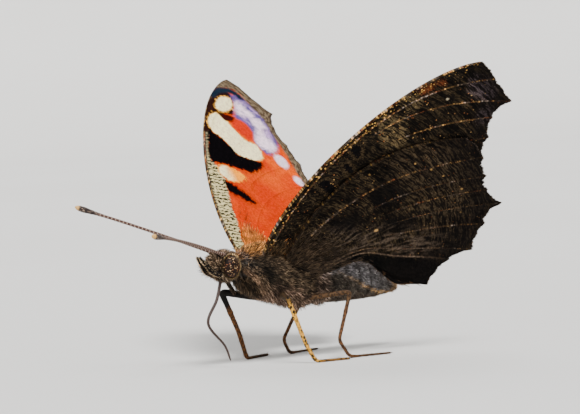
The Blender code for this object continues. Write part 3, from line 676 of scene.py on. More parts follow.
def forewing_upper():
    """Rust-red ground with black bars, cream bands and the violet and lilac eye near the tip."""
    f = Finish("forewing_upper_scales", 0.95, 0.0)
    back, out = f.field("back"), f.field("out")
    across = f.join(back, out)
    grain = scale_grain(f, across, 5.5)
    wobble = f.step(f.noise(across, 2.4, 3.0), 0.3, 0.7, -0.16, 0.16)
    fine = f.step(f.noise(across, 8.0, 2.0), 0.3, 0.7, -0.07, 0.07)
    edgy = f.sum(wobble, fine)
    ground = f.mix(f.step(f.noise(across, 0.35, 2.0), 0.35, 0.65), colour(206, 56, 2), colour(226, 84, 4))
    ground = f.mix(f.step(out, 14.5, 11.0, 0.0, 0.65), ground, colour(190, 44, 0))
    from_root = f.sum(f.field("reach"), f.times(wobble, 4.0))
    ground = f.mix(f.step(from_root, 1.0, 5.5), colour(140, 74, 26), ground)
    near_black = f.step(f.sum(f.field("black"), edgy), -1.0, 0.2, 0.0, 0.5)
    ground = f.mix(near_black, ground, colour(130, 34, 8))
    ground = f.mix(f.step(f.field("ridge"), 0.35, 0.95, 0.0, 0.3), ground, colour(130, 44, 10))
    ripple = f.sine(f.sum(f.times(out, 2 * math.pi / 0.46), f.times(f.noise(across, 1.3, 3.0), 16.0)))
    bars = f.sum(ripple, f.step(f.noise(across, 3.0, 2.0), 0.3, 0.7, -0.8, 0.8))
    stripe = f.mix(f.step(bars, -0.75, 0.1), colour(40, 36, 24), colour(206, 192, 140))
    stripe = f.mix(f.step(out, 13.0, 16.0, 0.0, 0.7), stripe, colour(96, 90, 74))
    stripe = f.mix(f.step(f.field("costa"), 0.34, 0.12, 0.0, 0.8), stripe, colour(48, 38, 40))
    base = f.paint(ground, f.field("costal"), stripe, 0.16, edgy)
    base = f.paint(base, f.field("tip_dark"), colour(40, 20, 16), 0.16, fine)
    base = f.paint(base, f.field("violet"), colour(88, 74, 132), 0.40, edgy)
    blue = f.noise(across, 0.8, 2.0)
    haze = f.times(f.step(f.sum(f.field("violet"), edgy), 0.3, 1.1), f.step(blue, 0.40, 0.58))
    base = f.mix(haze, base, colour(172, 138, 190))
    base = f.paint(base, f.field("lilac"), colour(246, 218, 236), 0.55, edgy)
    cream = f.mix(f.step(f.field("cream"), 0.0, 0.28), colour(236, 170, 70), colour(255, 242, 188))
    cream = f.mix(f.times(f.step(back, 1.7, 3.6), f.step(out, 15.0, 14.2)), cream, colour(248, 150, 24))
    base = f.paint(base, f.field("cream"), cream, 0.18, edgy)
    base = f.paint(base, f.field("eye"), colour(196, 44, 16), 0.30, edgy)
    base = f.paint(base, f.field("maroon"), colour(52, 12, 12), 0.25, fine)
    base = f.paint(base, f.field("spots"), colour(238, 214, 230), 0.26, fine)
    lines = f.noise(f.join(f.times(f.field("edge"), 3.0), f.times(f.field("cell"), 4.0)), 1.0, 3.0)
    border = f.mix(f.step(lines, 0.4, 0.6), colour(72, 58, 45), colour(120, 104, 82))
    base = f.paint(base, f.field("border"), border, 0.35, edgy)
    base = f.paint(base, f.field("teal"), colour(20, 34, 48), 0.22, fine)
    base = f.mix(f.step(f.sum(f.field("edge"), fine), 0.30, 0.10), base, colour(66, 52, 42))
    base = f.paint(base, f.field("black"), colour(10, 8, 10), 0.18, edgy)
    base = f.shade_by(base, f.step(grain, 0.0, 1.0, 0.84, 1.14))
    f.relief(f.sum(grain, f.times(bars, 0.1)), 0.02, 0.5)
    return f.coat(base)


def hindwing_upper():
    """Rust-red ground, a brown base and edges, and the blue-pupilled eye ringed with pale grey."""
    f = Finish("hindwing_upper_scales", 0.95, 0.0)
    across = f.join(f.field("back"), f.field("out"))
    grain = scale_grain(f, across, 5.5)
    wobble = f.step(f.noise(across, 3.0, 3.0), 0.3, 0.7, -0.22, 0.22)
    ground = f.mix(f.step(f.noise(across, 0.35, 2.0), 0.35, 0.65), colour(168, 44, 12), colour(200, 62, 16))
    base = f.mix(f.step(f.sum(f.field("reach"), wobble), 9.5, 4.0), ground, colour(54, 34, 22))
    base = f.mix(f.step(f.sum(f.field("above_fold"), wobble), 1.5, -0.5), base, colour(74, 56, 40))
    base = f.mix(f.step(f.sum(f.field("edge"), wobble), 2.6, 1.7), base, colour(80, 62, 50))
    base = f.mix(f.step(f.sum(f.field("costa"), wobble), 2.0, 1.2), base, colour(66, 52, 44))
    base = f.mix(f.step(f.sum(f.field("edge"), wobble), 0.5, 0.2), base, colour(46, 34, 28))
    spot = f.sum(f.field("spot"), wobble)
    base = f.mix(f.step(spot, 4.4, 4.0), base, colour(30, 18, 16))
    base = f.mix(f.step(spot, 4.1, 3.8), base, colour(196, 178, 142))
    base = f.mix(f.step(spot, 3.3, 2.95), base, colour(9, 8, 12))
    blue = f.step(f.noise(across, 0.9, 2.0), 0.45, 0.6)
    base = f.mix(f.times(f.step(spot, 2.5, 1.9), blue), base, colour(74, 92, 190))
    base = f.mix(f.step(f.field("ridge"), 0.3, 0.95, 0.0, 0.4), base, colour(60, 26, 14))
    base = f.shade_by(base, f.step(grain, 0.0, 1.0, 0.80, 1.16))
    f.relief(grain, 0.02, 0.5)
    return f.coat(base)


def wavy_under(f):
    """The undersides' ground: near-black brown crossed by fine wavy lines that run round the wing's root,
    which are noise drawn out along the angle about the root."""
    across = f.join(f.field("back"), f.field("out"))
    bend = f.step(f.noise(across, 0.6, 2.0), 0.2, 0.8, -0.16, 0.16)
    ring = f.sum(f.field("reach"), bend)
    drawn = f.join(f.times(ring, 6.8), f.times(f.field("turn"), 11.0), f.times(f.field("cell"), 1.6))
    stria = f.noise(drawn, 1.0, 2.0, 0.5)
    broad = f.noise(f.join(f.times(ring, 0.7), f.times(f.field("turn"), 2.2)), 1.0, 2.0)
    dark = f.mix(f.step(broad, 0.38, 0.62), colour(5, 4, 3), colour(16, 12, 8))
    light = f.mix(f.step(broad, 0.4, 0.6), colour(27, 21, 14), colour(53, 43, 29))
    return across, stria, f.mix(f.step(stria, 0.45, 0.60), dark, light)


def finish_under(f, base, stria, grain, fine, starts, ends):
    """Darkens an underside towards its outer edge, between two distances from it, then shades every scale by
    its own grain and raises it."""
    margin = f.step(f.sum(f.field("edge"), fine), starts, ends, 0.0, 0.7)
    base = f.mix(margin, base, colour(11, 8, 7))
    base = f.shade_by(base, f.step(grain, 0.0, 1.0, 0.55, 1.5))
    f.relief(f.sum(grain, stria), 0.025, 0.5)
    return f.coat(base)


def gold_veins_and_glints(f, base, across, costa_width, bright):
    """Veins picked out in gold and pinkish dots, and painted glints: gold flecks along the front edge and
    stray flecks.
    """
    dots = f.step(f.cells(across, 3.8), 0.48, 0.26, 0.10, 1.0)
    patchy = f.times(dots, f.step(f.noise(across, 0.45, 2.0), 0.34, 0.56, 0.3, 1.0))
    tone = f.mix(f.step(f.noise(across, 1.2, 1.0), 0.4, 0.6), colour(150, 84, 48), colour(232, 178, 108))
    tone = f.mix(f.step(f.noise(across, 0.8, 1.0), 0.5, 0.62), tone, colour(186, 164, 148))
    base = f.mix(f.times(f.step(f.field("ridge"), 0.36, 0.80, 0.0, bright), patchy), base, tone)
    # Painted glints: bright gold flecks along the front edge, and stray ones over the wing, where light
    # sparkles.
    near = f.step(f.field("costa"), costa_width, costa_width * 0.4)
    costal_glints = f.times(near, f.step(f.cells(across, 2.8), 0.30, 0.18))
    base = f.mix(costal_glints, base, colour(206, 160, 84))
    stray = f.times(f.step(f.noise(across, 0.5, 2.0), 0.42, 0.62), f.step(f.cells(across, 2.2), 0.19, 0.09))
    drift = f.step(f.noise(across, 1.7, 1.0), 0.42, 0.58)
    return f.mix(f.times(stray, bright), base, f.mix(drift, colour(150, 86, 46), colour(196, 156, 98)))


def forewing_under():
    """Wavy dark ground with an olive patch, a grey tip, rust and black marks, white dots, gold scales and
    painted glints.
    """
    f = Finish("forewing_under_scales", 0.85, 0.05)
    across, stria, base = wavy_under(f)
    grain = scale_grain(f, across, 6.0)
    fine = f.step(f.noise(across, 5.0, 3.0), 0.3, 0.7, -0.22, 0.22)
    olive = f.mix(f.step(stria, 0.42, 0.58), colour(24, 19, 13), colour(98, 82, 56))
    base = f.mix(f.step(f.sum(f.field("olive"), fine), -0.5, 0.5, 0.0, 0.8), base, olive)
    grey = f.mix(f.step(stria, 0.42, 0.6), colour(24, 18, 19), colour(98, 84, 88))
    base = f.mix(f.step(f.sum(f.field("grey_tip"), fine), -0.6, 0.5, 0.0, 0.55), base, grey)
    base = f.mix(f.step(f.sum(f.field("rust"), fine), -0.3, 0.3, 0.0, 0.6), base, colour(104, 50, 24))
    base = f.mix(f.step(f.sum(f.field("bars"), fine), -0.35, 0.0, 0.0, 0.6), base, colour(70, 56, 38))
    base = f.paint(base, f.field("bars"), colour(6, 5, 6), 0.12, fine, 0.05)
    base = f.paint(base, f.field("white_dots"), colour(206, 190, 160), 0.08)
    base = gold_veins_and_glints(f, base, across, 1.15, 1.0)
    return finish_under(f, base, stria, grain, fine, 2.4, 0.9)


def hindwing_under():
    """Wavy dark ground with black blotches, small gold dots, a fan of pale streaks above the fold, and near
    black painted shade below it, where the wing turns down along the abdomen."""
    f = Finish("hindwing_under_scales", 0.85, 0.05)
    across, stria, base = wavy_under(f)
    grain = scale_grain(f, across, 6.0)
    fine = f.step(f.noise(across, 5.0, 3.0), 0.3, 0.7, -0.22, 0.22)
    base = f.mix(f.step(f.sum(f.field("blotch"), fine), -0.5, 0.5, 0.0, 0.85), base, colour(6, 5, 5))
    outer = f.step(f.sum(f.field("reach"), fine), 12.0, 16.0, 0.0, 0.3)
    base = f.mix(f.times(outer, f.step(stria, 0.44, 0.62)), base, colour(66, 54, 42))
    # Painted shade: near black below the fold, where the wing turns down along the abdomen and faces away
    # from the light.
    painted_fold_shade = f.step(f.sum(f.field("above_fold"), fine), 0.35, -0.35, 0.0, 0.95)
    base = f.mix(painted_fold_shade, base, colour(3, 3, 3))
    base = f.paint(base, f.field("gold_dots"), colour(190, 148, 88), 0.08)
    off_front = f.step(f.field("costa"), 0.10, 0.45, 0.15, 1.0)
    spread = f.times(off_front, f.step(f.field("above_fold"), -0.1, 0.4))
    # Gold veins and painted glints, away from the front edge and above the fold.
    base = f.mix(spread, base, gold_veins_and_glints(f, base, across, 0.05, 0.32))
    low = f.times(f.step(f.field("out"), 13.0, 8.0), f.step(f.field("reach"), 18.0, 13.0))
    chosen = f.times(f.step(f.field("cell"), 4.4, 6.9, 0.06, 0.8), f.step(f.field("cell"), 7.5, 7.2))
    broken = f.step(f.noise(across, 3.5, 2.0), 0.35, 0.6, 0.35, 1.0)
    pale = f.times(f.times(f.step(f.field("ridge"), 0.02, 0.9), low), f.times(chosen, broken))
    base = f.mix(pale, base, colour(92, 76, 62))
    reach, above = f.field("reach"), f.field("above_fold")
    streak = f.noise(f.join(f.times(reach, 0.6), f.times(f.field("turn"), 20.0)), 1.0, 2.0)
    beside = f.times(f.step(above, -0.1, 0.6), f.step(above, 4.8, 2.0))
    beside = f.times(beside, f.times(f.step(reach, 18.0, 12.0), f.step(reach, 3.0, 6.0)))
    fan = f.times(beside, f.step(streak, 0.42, 0.64, 0.0, 0.5))
    base = f.mix(fan, base, colour(90, 76, 64))
    return finish_under(f, base, stria, grain, fine, 3.4, 1.2)


def make_wing(name, root, veins, lift, sign, upper_finish, under_finish):
    """Two fine faces a membrane apart, raised along the veins and pleated between them, joined round the rim.
    Behind its front edge the hindwing rises on a bell curve, up to the forewing that it slides under."""
    hind = lift != 0.0
    plan, ridge, pleat, cell = wing_plan(root, veins)
    if hind:
        plan = with_bay(plan)
    rows, columns = ridge.shape
    share = np.linspace(0, 1, rows)[:, None]
    half = MEMBRANE / 2 + ROOT_THICKENING * (1 - share)
    wave = pleat * PLEAT_HEIGHT * np.clip(share * 3, 0, 1) * np.clip((1 - share) / 0.05, 0.6, 1)
    if hind:
        from_front = np.linalg.norm(plan - plan[:, :1], axis=2)
        wave = wave + FRONT_RISE * np.exp(-((from_front / FRONT_RISE_REACH) ** 2))
    raised = half + ridge * VEIN_HEIGHT * np.clip((1 - share) / 0.06, 0.3, 1)
    upper, under = (wing_place(plan, lift + wave + way * raised, sign, hind) for way in (1, -1))
    points = np.vstack([upper.reshape(-1, 3), under.reshape(-1, 3)])
    size = rows * columns
    rim = np.concatenate([
        np.arange(columns), np.arange(1, rows) * columns + columns - 1,
        (rows - 1) * columns + np.arange(columns - 2, -1, -1), np.arange(rows - 2, 0, -1) * columns,
    ])
    after = np.roll(rim, -1)
    top = grid_faces(rows, columns)
    face_sets = [top, top[:, ::-1] + size, np.stack([rim, rim + size, after + size, after], axis=1)]
    if sign > 0:
        face_sets = [faces[:, ::-1] for faces in face_sets]
    fields = {key: np.tile(values, 2) for key, values in wing_fields(plan, ridge, cell, hind).items()}
    chart = np.stack([(plan[..., 0] + 5) / 64, plan[..., 1] / 32], axis=-1)
    charts = np.vstack([chart.reshape(-1, 2), chart.reshape(-1, 2) + (0.5, 0)])
    which = np.repeat((0, 1), (len(top), len(top) + len(rim)))
    wing = piece(name + "_scaled", points, face_sets, [upper_finish, under_finish], fields,
                 maps={"chart": charts}, which=which)
    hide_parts(name)
    return {"plan": plan, "upper": upper, "under": under, "sign": sign, "chart": chart}


fore_up, hind_up = forewing_upper(), hindwing_upper()
fore_down, hind_down = forewing_under(), hindwing_under()
WINGS = {}
for side, sign in (("left", -1), ("right", 1)):
    WINGS["forewing_" + side] = make_wing(
        "forewing_" + side, FOREWING_ROOT, FOREWING_VEINS, 0.0, sign, fore_up, fore_down)
    WINGS["hindwing_" + side] = make_wing(
        "hindwing_" + side, HINDWING_ROOT, HINDWING_VEINS, HINDWING_LIFT, sign, hind_up, hind_down)


# The body's skin and coat
SKIN_SECTIONS = smooth_rows(TRUNK, 420)
ABDOMEN_STARTS = 5.6
GROOVE_DEPTH = 0.06
GROOVE_WIDTH = 0.13
LATERAL_LINE = ((8.2, 9.8, 11.2, 13.4, 15.1, 16.3), (0.28, 0.43, 0.58, 0.75, 0.87, 0.93))
SKIN_SIDES = 72


def ramp(value, start, width):
    """0 up to the start, then a straight rise over the width to 1. A negative width turns it round."""
    return np.clip((value - start) / width, 0, 1)


def bell(value, width):
    """A bell curve of the value: the exponential of minus the square of value over width."""
    return np.exp(-((value / width) ** 2))


def how_low(turn):
    """0 along the back and 1 along the belly, from the cosine of the turn."""
    return 0.5 - 0.5 * np.cos(turn)


def eye_centre(sign):
    """The middle of the left (-1) or right (1) eye."""
    return np.array([EYE_CENTRE[0], sign * EYE_CENTRE[1], EYE_CENTRE[2]])


def trunk_rows(x):
    """Middle height, half width and half height of the skin at places along the body, under the coat's depth,
    with a groove where each ring of the abdomen starts."""
    middle, wide, high, coat = (np.interp(x, SKIN_SECTIONS[:, 0], SKIN_SECTIONS[:, k]) for k in range(1, 5))
    groove = np.zeros_like(x)
    for ring in ABDOMEN_RINGS[1:-1]:
        groove = np.maximum(groove, bell(x - ring, GROOVE_WIDTH))
    drawn_in = coat + np.where(x > ABDOMEN_STARTS, GROOVE_DEPTH * groove, 0.0)
    return middle, np.maximum(wide - drawn_in, 0.05), np.maximum(high - drawn_in, 0.06)


def trunk_points(x, turn):
    """A point of the skin: an ellipse round the body's middle at x, turned from the top towards the right."""
    middle, wide, high = trunk_rows(x)
    return np.stack([x, wide * np.sin(turn), middle + high * np.cos(turn)], axis=-1)


def trunk_normals(x, turn):
    """The skin's outward direction, from the cross product of its two small steps."""
    along = trunk_points(x + 0.02, turn) - trunk_points(x - 0.02, turn)
    around = trunk_points(x, turn + 0.01) - trunk_points(x, turn - 0.01)
    return unit(np.cross(along, around))


def trunk_chart(x, turn):
    """The skin's flat map: place along the body, and turn, each as a share of the whole."""
    return np.stack([(x + 7) / 25, turn / (2 * math.pi)], axis=-1)


def blend(share, under, over):
    """Two shades mixed by a share, which is held between 0 and 1."""
    share = np.clip(share, 0, 1)[..., None]
    return under * (1 - share) + over * share


def fur_tint(x, turn):
    """Shades of head, collar and thorax: browner above, greyer below, darker low at the front in painted
    shade, black behind the slanting collar.
    """
    below, side = how_low(turn), np.abs(np.sin(turn))
    tint = blend((below - 0.55) / 0.3, colour(54, 39, 25) + 0 * x[..., None], colour(86, 69, 57))
    tint = blend((side - 0.6) / 0.3 * (below < 0.75), tint, colour(60, 49, 37))
    # Painted shade: the lower front of the thorax is darkened where shade falls.
    tint = blend((below - 0.6) / 0.2 * ramp(x, -0.5, -1.5), tint, colour(46, 36, 25))
    tint = blend((0.22 - below) / 0.15 * ramp(x, 4.5, -2), tint, colour(112, 74, 36))
    stripe = x + 3.6 - 6.0 * (below - 0.42)
    behind = ramp(stripe, 0.2, 0.4) * ramp(stripe, 3.0, -1.6) * ramp(below, 0.9, -0.2)
    tint = blend(behind * ramp(below, 0.2, 0.1) * 0.9, tint, colour(22, 19, 15))
    pale = bell(stripe, 0.26) * ramp(below, 0.34, 0.08) * ramp(below, 0.92, -0.1)
    tint = blend(pale * 0.35, tint, colour(150, 124, 100))
    collar = bell(x + 3.6, 0.5) * (below < 0.75) * (1 - pale)
    tint = blend(collar * 0.8, tint, colour(50, 49, 48))
    head = blend((below - 0.45) / 0.3, colour(68, 54, 42) + 0 * x[..., None], colour(72, 60, 48))
    tint = blend((-4.2 - x) / 0.5, tint, head)
    return blend((-6.1 - x) / 0.4, tint, colour(88, 72, 56))


def plate_tint(x, turn):
    """Shades of the abdomen: grey sides that darken to the rear, their grey a painted sheen over dark plates,
    a brown back and belly, a gold line along each side, and a pale and a dark band at every ring."""
    below = how_low(turn)
    line_at = np.interp(x, *LATERAL_LINE)
    # Painted sheen: the sides' pale grey stands for light glancing off the dark plates.
    plates = blend((x - 12.5) / 4.0, colour(96, 93, 93) + 0 * x[..., None], colour(66, 60, 56))
    plates = blend((below - line_at) / 0.06, plates, colour(70, 63, 55))
    plates = blend((below - 0.78) / 0.15, plates, colour(62, 51, 40))
    line = bell(below - line_at, 0.024)
    plates = blend(line * ramp(x, 7.6, 5.0), plates, colour(176, 134, 78))
    plates = blend((0.24 - below) / 0.2 * 0.75, plates, colour(52, 43, 36))
    plates = blend((7.6 - x) / 1.8, plates, colour(98, 82, 71))
    for ring in ABDOMEN_RINGS[1:]:
        pale = bell(x - ring + 0.22, 0.16) * (below < 0.4)
        plates = blend(0.35 * pale, plates, colour(128, 122, 116))
        plates = blend(0.6 * bell(x - ring - 0.05, 0.14), plates, colour(34, 28, 24))
    return blend((x - 16.2) / 1.2, plates, colour(134, 106, 74))


def trunk_tint(x, turn):
    """The body's shade at every place: fur in front, plates behind, blended where they meet."""
    x, turn = np.broadcast_arrays(np.asarray(x, float), np.asarray(turn, float))
    return blend((x - 5.2) / 0.9, fur_tint(x, turn), plate_tint(x, turn))


def coat_finish(name, roughness):
    """Hair: the place's own shade, darker at the root and paler at the tip, drifting from tuft to tuft."""
    f = Finish(name, roughness, 0.15)
    drift = f.noise(f.place(), 1.4, 2.0)
    base = f.shade_by(f.tint("tint"), f.step(drift, 0.35, 0.65, 0.55, 1.4))
    base = f.shade_by(base, f.step(f.field("tip"), 0.0, 1.0, 0.22, 2.0))
    return f.coat(base)


def skin_finish():
    """Skin and plates under the coat: the same shades, with fine flat hair as relief."""
    f = Finish("trunk_skin", 0.75, 0.2)
    lie = f.noise(f.place((0.8, 4.0, 4.0)), 1.5, 4.0, 0.65)
    base = f.shade_by(f.tint("tint"), f.step(lie, 0.3, 0.7, 0.55, 1.15))
    f.relief(lie, 0.06, 0.7)
    return f.coat(base)


def enclosed(points, quads):
    """Six times the volume inside the quads, by summing the triple products of their corners."""
    a, b, c, d = (points[quads[:, k]] for k in range(4))
    return (np.cross(b, c) * a).sum() + (np.cross(c, d) * a).sum()


def closed_tube(name, rings, material, tint=None, fields=None, replaces=(), chart=None):
    """Rings of points joined by quads, with a point at each end's middle and a fan of triangles to it.
    Where the enclosed volume comes out negative, every face is turned round to point outwards."""
    rows, columns = rings.shape[:2]
    ends = np.stack([rings[0].mean(axis=0), rings[-1].mean(axis=0)])
    points = np.vstack([rings.reshape(-1, 3), ends])
    body = grid_faces(rows, columns, around=True)
    here = np.arange(columns)
    after = (here + 1) % columns
    first = np.stack([after, here, np.full(columns, rows * columns)], axis=1)
    base = (rows - 1) * columns
    last = np.stack([base + here, base + after, np.full(columns, rows * columns + 1)], axis=1)
    if enclosed(points - points.mean(axis=0), body) < 0:
        body, first, last = body[:, ::-1], first[:, ::-1], last[:, ::-1]
    padded = {}
    for key, values in (fields or {}).items():
        values = values.ravel()
        padded[key] = np.concatenate([values, values[[0, -1]]])
    tints = None
    if tint is not None:
        tints = {"tint": np.vstack([tint.reshape(-1, 3), tint[0].mean(axis=0), tint[-1].mean(axis=0)])}
    if chart is None:
        u, v = np.meshgrid(np.linspace(0, 1, rows), np.linspace(0, 1, columns), indexing="ij")
        chart = np.stack([u, v], axis=-1)
    chart = np.vstack([chart.reshape(-1, 2), (0, 0.5), (1, 0.5)])
    obj = piece(name, points, [body, first, last], [material], padded, tints, {"chart": chart})
    if replaces:
        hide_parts(*replaces)
    return obj


def tufts(name, roots, normals, lie, lengths, widths, rise, tint, chart, material, sag=0.15,
          stations=3):
    """Many tapered three-sided blades in one mesh. A blade's axis leaves its root between the skin's normal
    and the lie of the coat, bends towards the lie with the square of the share, and narrows to a point."""
    count = len(roots)
    rise = np.broadcast_to(np.asarray(rise, float), (count,))[:, None]
    forward = unit(normals * rise + lie * (1 - rise))
    across = unit(np.cross(normals, forward) + 1e-6)
    up = np.cross(forward, across)
    share = np.linspace(0, 1, stations + 1)
    reach = lengths[:, None, None] * share[None, :, None]
    bend = (lengths * sag)[:, None, None] * share[None, :, None] ** 2
    axis = roots[:, None] + forward[:, None] * reach + (lie - forward)[:, None] * bend
    taper = (1 - share[:-1] ** 1.6)[None, :, None] * (widths / 2)[:, None, None]
    corners = [axis[:, :-1] + taper * (a * across + b * up)[:, None] for a, b in ((-1, 0), (1, 0), (0, 0.7))]
    rings = np.stack(corners, axis=2).reshape(count, stations * 3, 3)
    points = np.concatenate([rings, axis[:, -1:]], axis=1)
    per = stations * 3 + 1
    quads = np.array([
        (3 * k + j, 3 * k + (j + 1) % 3, 3 * k + 3 + (j + 1) % 3, 3 * k + 3 + j)
        for k in range(stations - 1) for j in range(3)
    ])
    top = 3 * (stations - 1)
    point = per - 1
    tris = np.array([(top, top + 1, point), (top + 1, top + 2, point), (top + 2, top, point), (0, 2, 1)])
    first = (np.arange(count) * per)[:, None, None]
    face_sets = [(first + quads).reshape(-1, 4), (first + tris).reshape(-1, 3)]
    tip = np.tile(np.append(np.repeat(share[:-1], 3), 1.0), count)
    patch = np.stack([np.tile((0.0, 1.0, 0.5), stations), np.repeat(share[:-1], 3)], axis=1)
    patch = np.vstack([patch, (0.5, 1.0)]) * 0.003 - 0.0015
    places = (chart[:, None] + patch[None]).reshape(-1, 2)
    obj = piece(name, points.reshape(-1, 3), face_sets, [material], {"tip": tip},
                {"tint": np.repeat(tint, per, axis=0)}, {"OFBake": places})
    return obj


def make_trunk():
    """One skin from the face to the tail, with finer steps over the abdomen."""
    x = np.concatenate([np.linspace(-6.85, 5.6, 150), np.linspace(5.65, 17.85, 170)])
    turn = np.linspace(0, 2 * math.pi, SKIN_SIDES, endpoint=False)
    x, turn = np.meshgrid(x, turn, indexing="ij")
    return closed_tube(
        "trunk_skin", trunk_points(x, turn), skin_finish(), trunk_tint(x, turn), None,
        ("head", "prothorax", "thorax", "abdomen"), trunk_chart(x, turn),
    )


def trunk_roots(count, start, end):
    """Seeded roots over the skin between two places along the body, kept in proportion to its girth there and
    clear of the eyes."""
    x = DRAW.uniform(start, end, count * 3)
    _, wide, high = trunk_rows(x)
    keep = DRAW.uniform(0, 3.0, count * 3) < (wide + high) / 2
    x = x[keep][:count]
    turn = DRAW.uniform(0, 2 * math.pi, len(x))
    points = trunk_points(x, turn)
    clear = np.ones(len(x), bool)
    for sign in (-1, 1):
        clear &= (((points - eye_centre(sign)) / np.array(EYE_RADII)) ** 2).sum(axis=1) > 1.0
    return x[clear], turn[clear]


def coat_band(name, count, span, length, width, rise, material, stations=3, forward=None, contrast=1.0):
    """A stretch of the coat. Hairs lie backwards and, on the flanks, downwards, stray at random and in clumps
    (sines of place and turn), and stand up as far as the coat is deep. Ahead of forward they lie forwards."""
    x, turn = trunk_roots(count, *span)
    roots, normals = trunk_points(x, turn), trunk_normals(x, turn)
    clump = np.stack(
        [np.sin(5.1 * x + 3 * turn), np.sin(4.3 * turn - 2.7 * x), np.cos(3.7 * x + 5 * turn)], axis=1)
    jitter = DRAW.normal(0, 0.40, (len(x), 3)) + 0.28 * clump
    lie = np.stack([np.ones_like(x), 0 * x, -0.35 * np.abs(np.sin(turn))], axis=1)
    if forward is not None:
        lie = lie * np.where(x < forward, -1.0, 1.0)[:, None]
    lie = lie + jitter
    lie = unit(lie - normals * (lie * normals).sum(axis=1, keepdims=True))
    coat = np.interp(x, SKIN_SECTIONS[:, 0], SKIN_SECTIONS[:, 4])
    lengths = length(x, turn) * DRAW.uniform(0.7, 1.15, len(x))
    belly = ramp(how_low(turn), 0.7, 0.2) * (x < 4.5) * (x > -3.5)
    lift = np.clip(coat / np.maximum(lengths, 0.05) * rise * (1 + 0.7 * belly), 0.05, 0.9)
    widths = width * DRAW.uniform(0.7, 1.3, len(x))
    shade = trunk_tint(x, turn) * np.minimum(DRAW.lognormal(-0.35 * contrast, contrast, (len(x), 1)), 6.0)
    return tufts(name, roots - normals * 0.05, normals, lie, lengths, widths, lift, shade,
                 trunk_chart(x, turn), material, 0.2, stations)


def thorax_length(x, turn):
    """1.2 mm above, rising by 0.3 from the middle of the flank to the belly."""
    return 1.2 + 0.3 * ramp(how_low(turn), 0.45, 1 / 3)


def head_length(x, turn):
    """0.8 mm, rising by 0.4 over the front of the face."""
    return 0.80 + 0.4 * ramp(x, -6, -1)


def even_length(length):
    """The same length everywhere."""
    return lambda x, turn: length + 0 * x


def make_coat(long_hair, short_hair):
    """The coat in five stretches, each with its own length of hair."""
    coat_band("thorax_coat_front", 10500, (-4.2, 0.6), thorax_length, 0.13, 1.35, long_hair,
              contrast=1.2)
    coat_band("thorax_coat_rear", 10500, (0.6, 6.6), thorax_length, 0.13, 1.35, long_hair,
              contrast=1.1)
    coat_band("head_coat", 5200, (-6.84, -4.1), head_length, 0.10, 1.8, long_hair,
              forward=-6.1, contrast=1.25)
    coat_band("abdomen_coat", 12000, (5.9, 17.7), even_length(0.55), 0.10, 1.0, short_hair,
              stations=2, contrast=0.6)
    coat_band("tail_hairs", 900, (16.6, 17.8), even_length(0.75), 0.06, 0.9, short_hair)


def sampled(rows, at):
    """The rows of a table at row numbers that may fall between two rows."""
    return np.column_stack([np.interp(at, np.arange(len(rows)), rows[:, k]) for k in range(rows.shape[1])])


def wing_hairs(name, wing, face, count, weight, length, width, rise, shade, material):
    """Hairs over one face of a wing, lying along the run from its root to its edge. Roots are grid points
    drawn by weight times the area that each stands for."""
    points = wing[face]
    along, over = np.gradient(points, axis=0), np.gradient(points, axis=1)
    area = np.linalg.norm(np.cross(along, over), axis=2) * weight(wing["plan"])
    at = DRAW.choice(area.size, count, p=(area / area.sum()).ravel())
    row, column = np.unravel_index(at, area.shape)
    roots = points[row, column] + along[row, column] * DRAW.uniform(-0.5, 0.5, (count, 1))
    roots = roots + over[row, column] * DRAW.uniform(-0.5, 0.5, (count, 1))
    normal = wing_upward(wing["sign"]) * (1 if face == "upper" else -1)
    lie = unit(unit(along[row, column]) + DRAW.normal(0, 0.13, (count, 3)))
    chart = wing["chart"][row, column] + ((0, 0) if face == "upper" else (0.5, 0))
    tint = shade * DRAW.lognormal(-0.15, 0.5, (count, 1))
    lengths = length * DRAW.uniform(0.6, 1.2, count)
    widths = width * DRAW.uniform(0.7, 1.3, count)
    return tufts(name, roots - normal * 0.03, np.tile(normal, (count, 1)), lie, lengths, widths, rise, tint,
                 chart, material)


def wing_fringe(name, wing, count, material):
    """Short dark scales in a comb along the wing's edge, one in eight of them pale."""
    edge, inner = (wing["upper"][-1] + wing["under"][-1]) / 2, (wing["upper"][-4] + wing["under"][-4]) / 2
    spaced = lengths_along(edge)
    at = np.interp(np.sort(DRAW.uniform(0, spaced[-1], count)), spaced, np.arange(len(edge)))
    normals = np.tile(wing_upward(wing["sign"]), (count, 1))
    lie = unit(unit(sampled(edge - inner, at)) + DRAW.normal(0, 0.12, (count, 3)))
    tint = np.where(DRAW.uniform(size=(count, 1)) < 0.12, colour(120, 100, 80), colour(34, 25, 19))
    lengths = DRAW.uniform(0.16, 0.30, count)
    widths = DRAW.uniform(0.08, 0.13, count)
    tufts(name, sampled(edge, at) - lie * 0.06, normals, lie, lengths, widths, 0.02, tint,
          sampled(wing["chart"][-1], at), material, 0.0, 2)


def near_root(reach, soft):
    """A weight for hairs: 1 about the middle of the wing's root, falling to 0 at a distance."""
    return lambda plan: ramp(np.linalg.norm(plan - plan[0].mean(axis=0), axis=2), reach, -soft)


def from_inner_edge(plan):
    """Distance from the inner edge, which is each row's last point."""
    return np.linalg.norm(plan - plan[:, -1:], axis=2)


def forewing_base(plan):
    """A weight that falls off from the root with a square, and stops along a slanting line behind the front
    edge."""
    behind = ramp(plan[..., 0] + 0.9 - 0.22 * plan[..., 1], 0, 0.6)
    return near_root(5.2, 4.2)(plan) ** 2 * behind


def hindwing_base(plan):
    """A weight over the root and along the inner edge."""
    return np.maximum(near_root(7.0, 4.0)(plan), ramp(from_inner_edge(plan), 2.6, -1.5))


def hindwing_under_base(plan):
    """A smaller weight over the root and along the front part of the inner edge."""
    ahead = ramp(plan[..., 0], 10.0, -2.5)
    return np.maximum(near_root(4.6, 3.0)(plan), 0.6 * ramp(from_inner_edge(plan), 1.4, -1.0) * ahead)


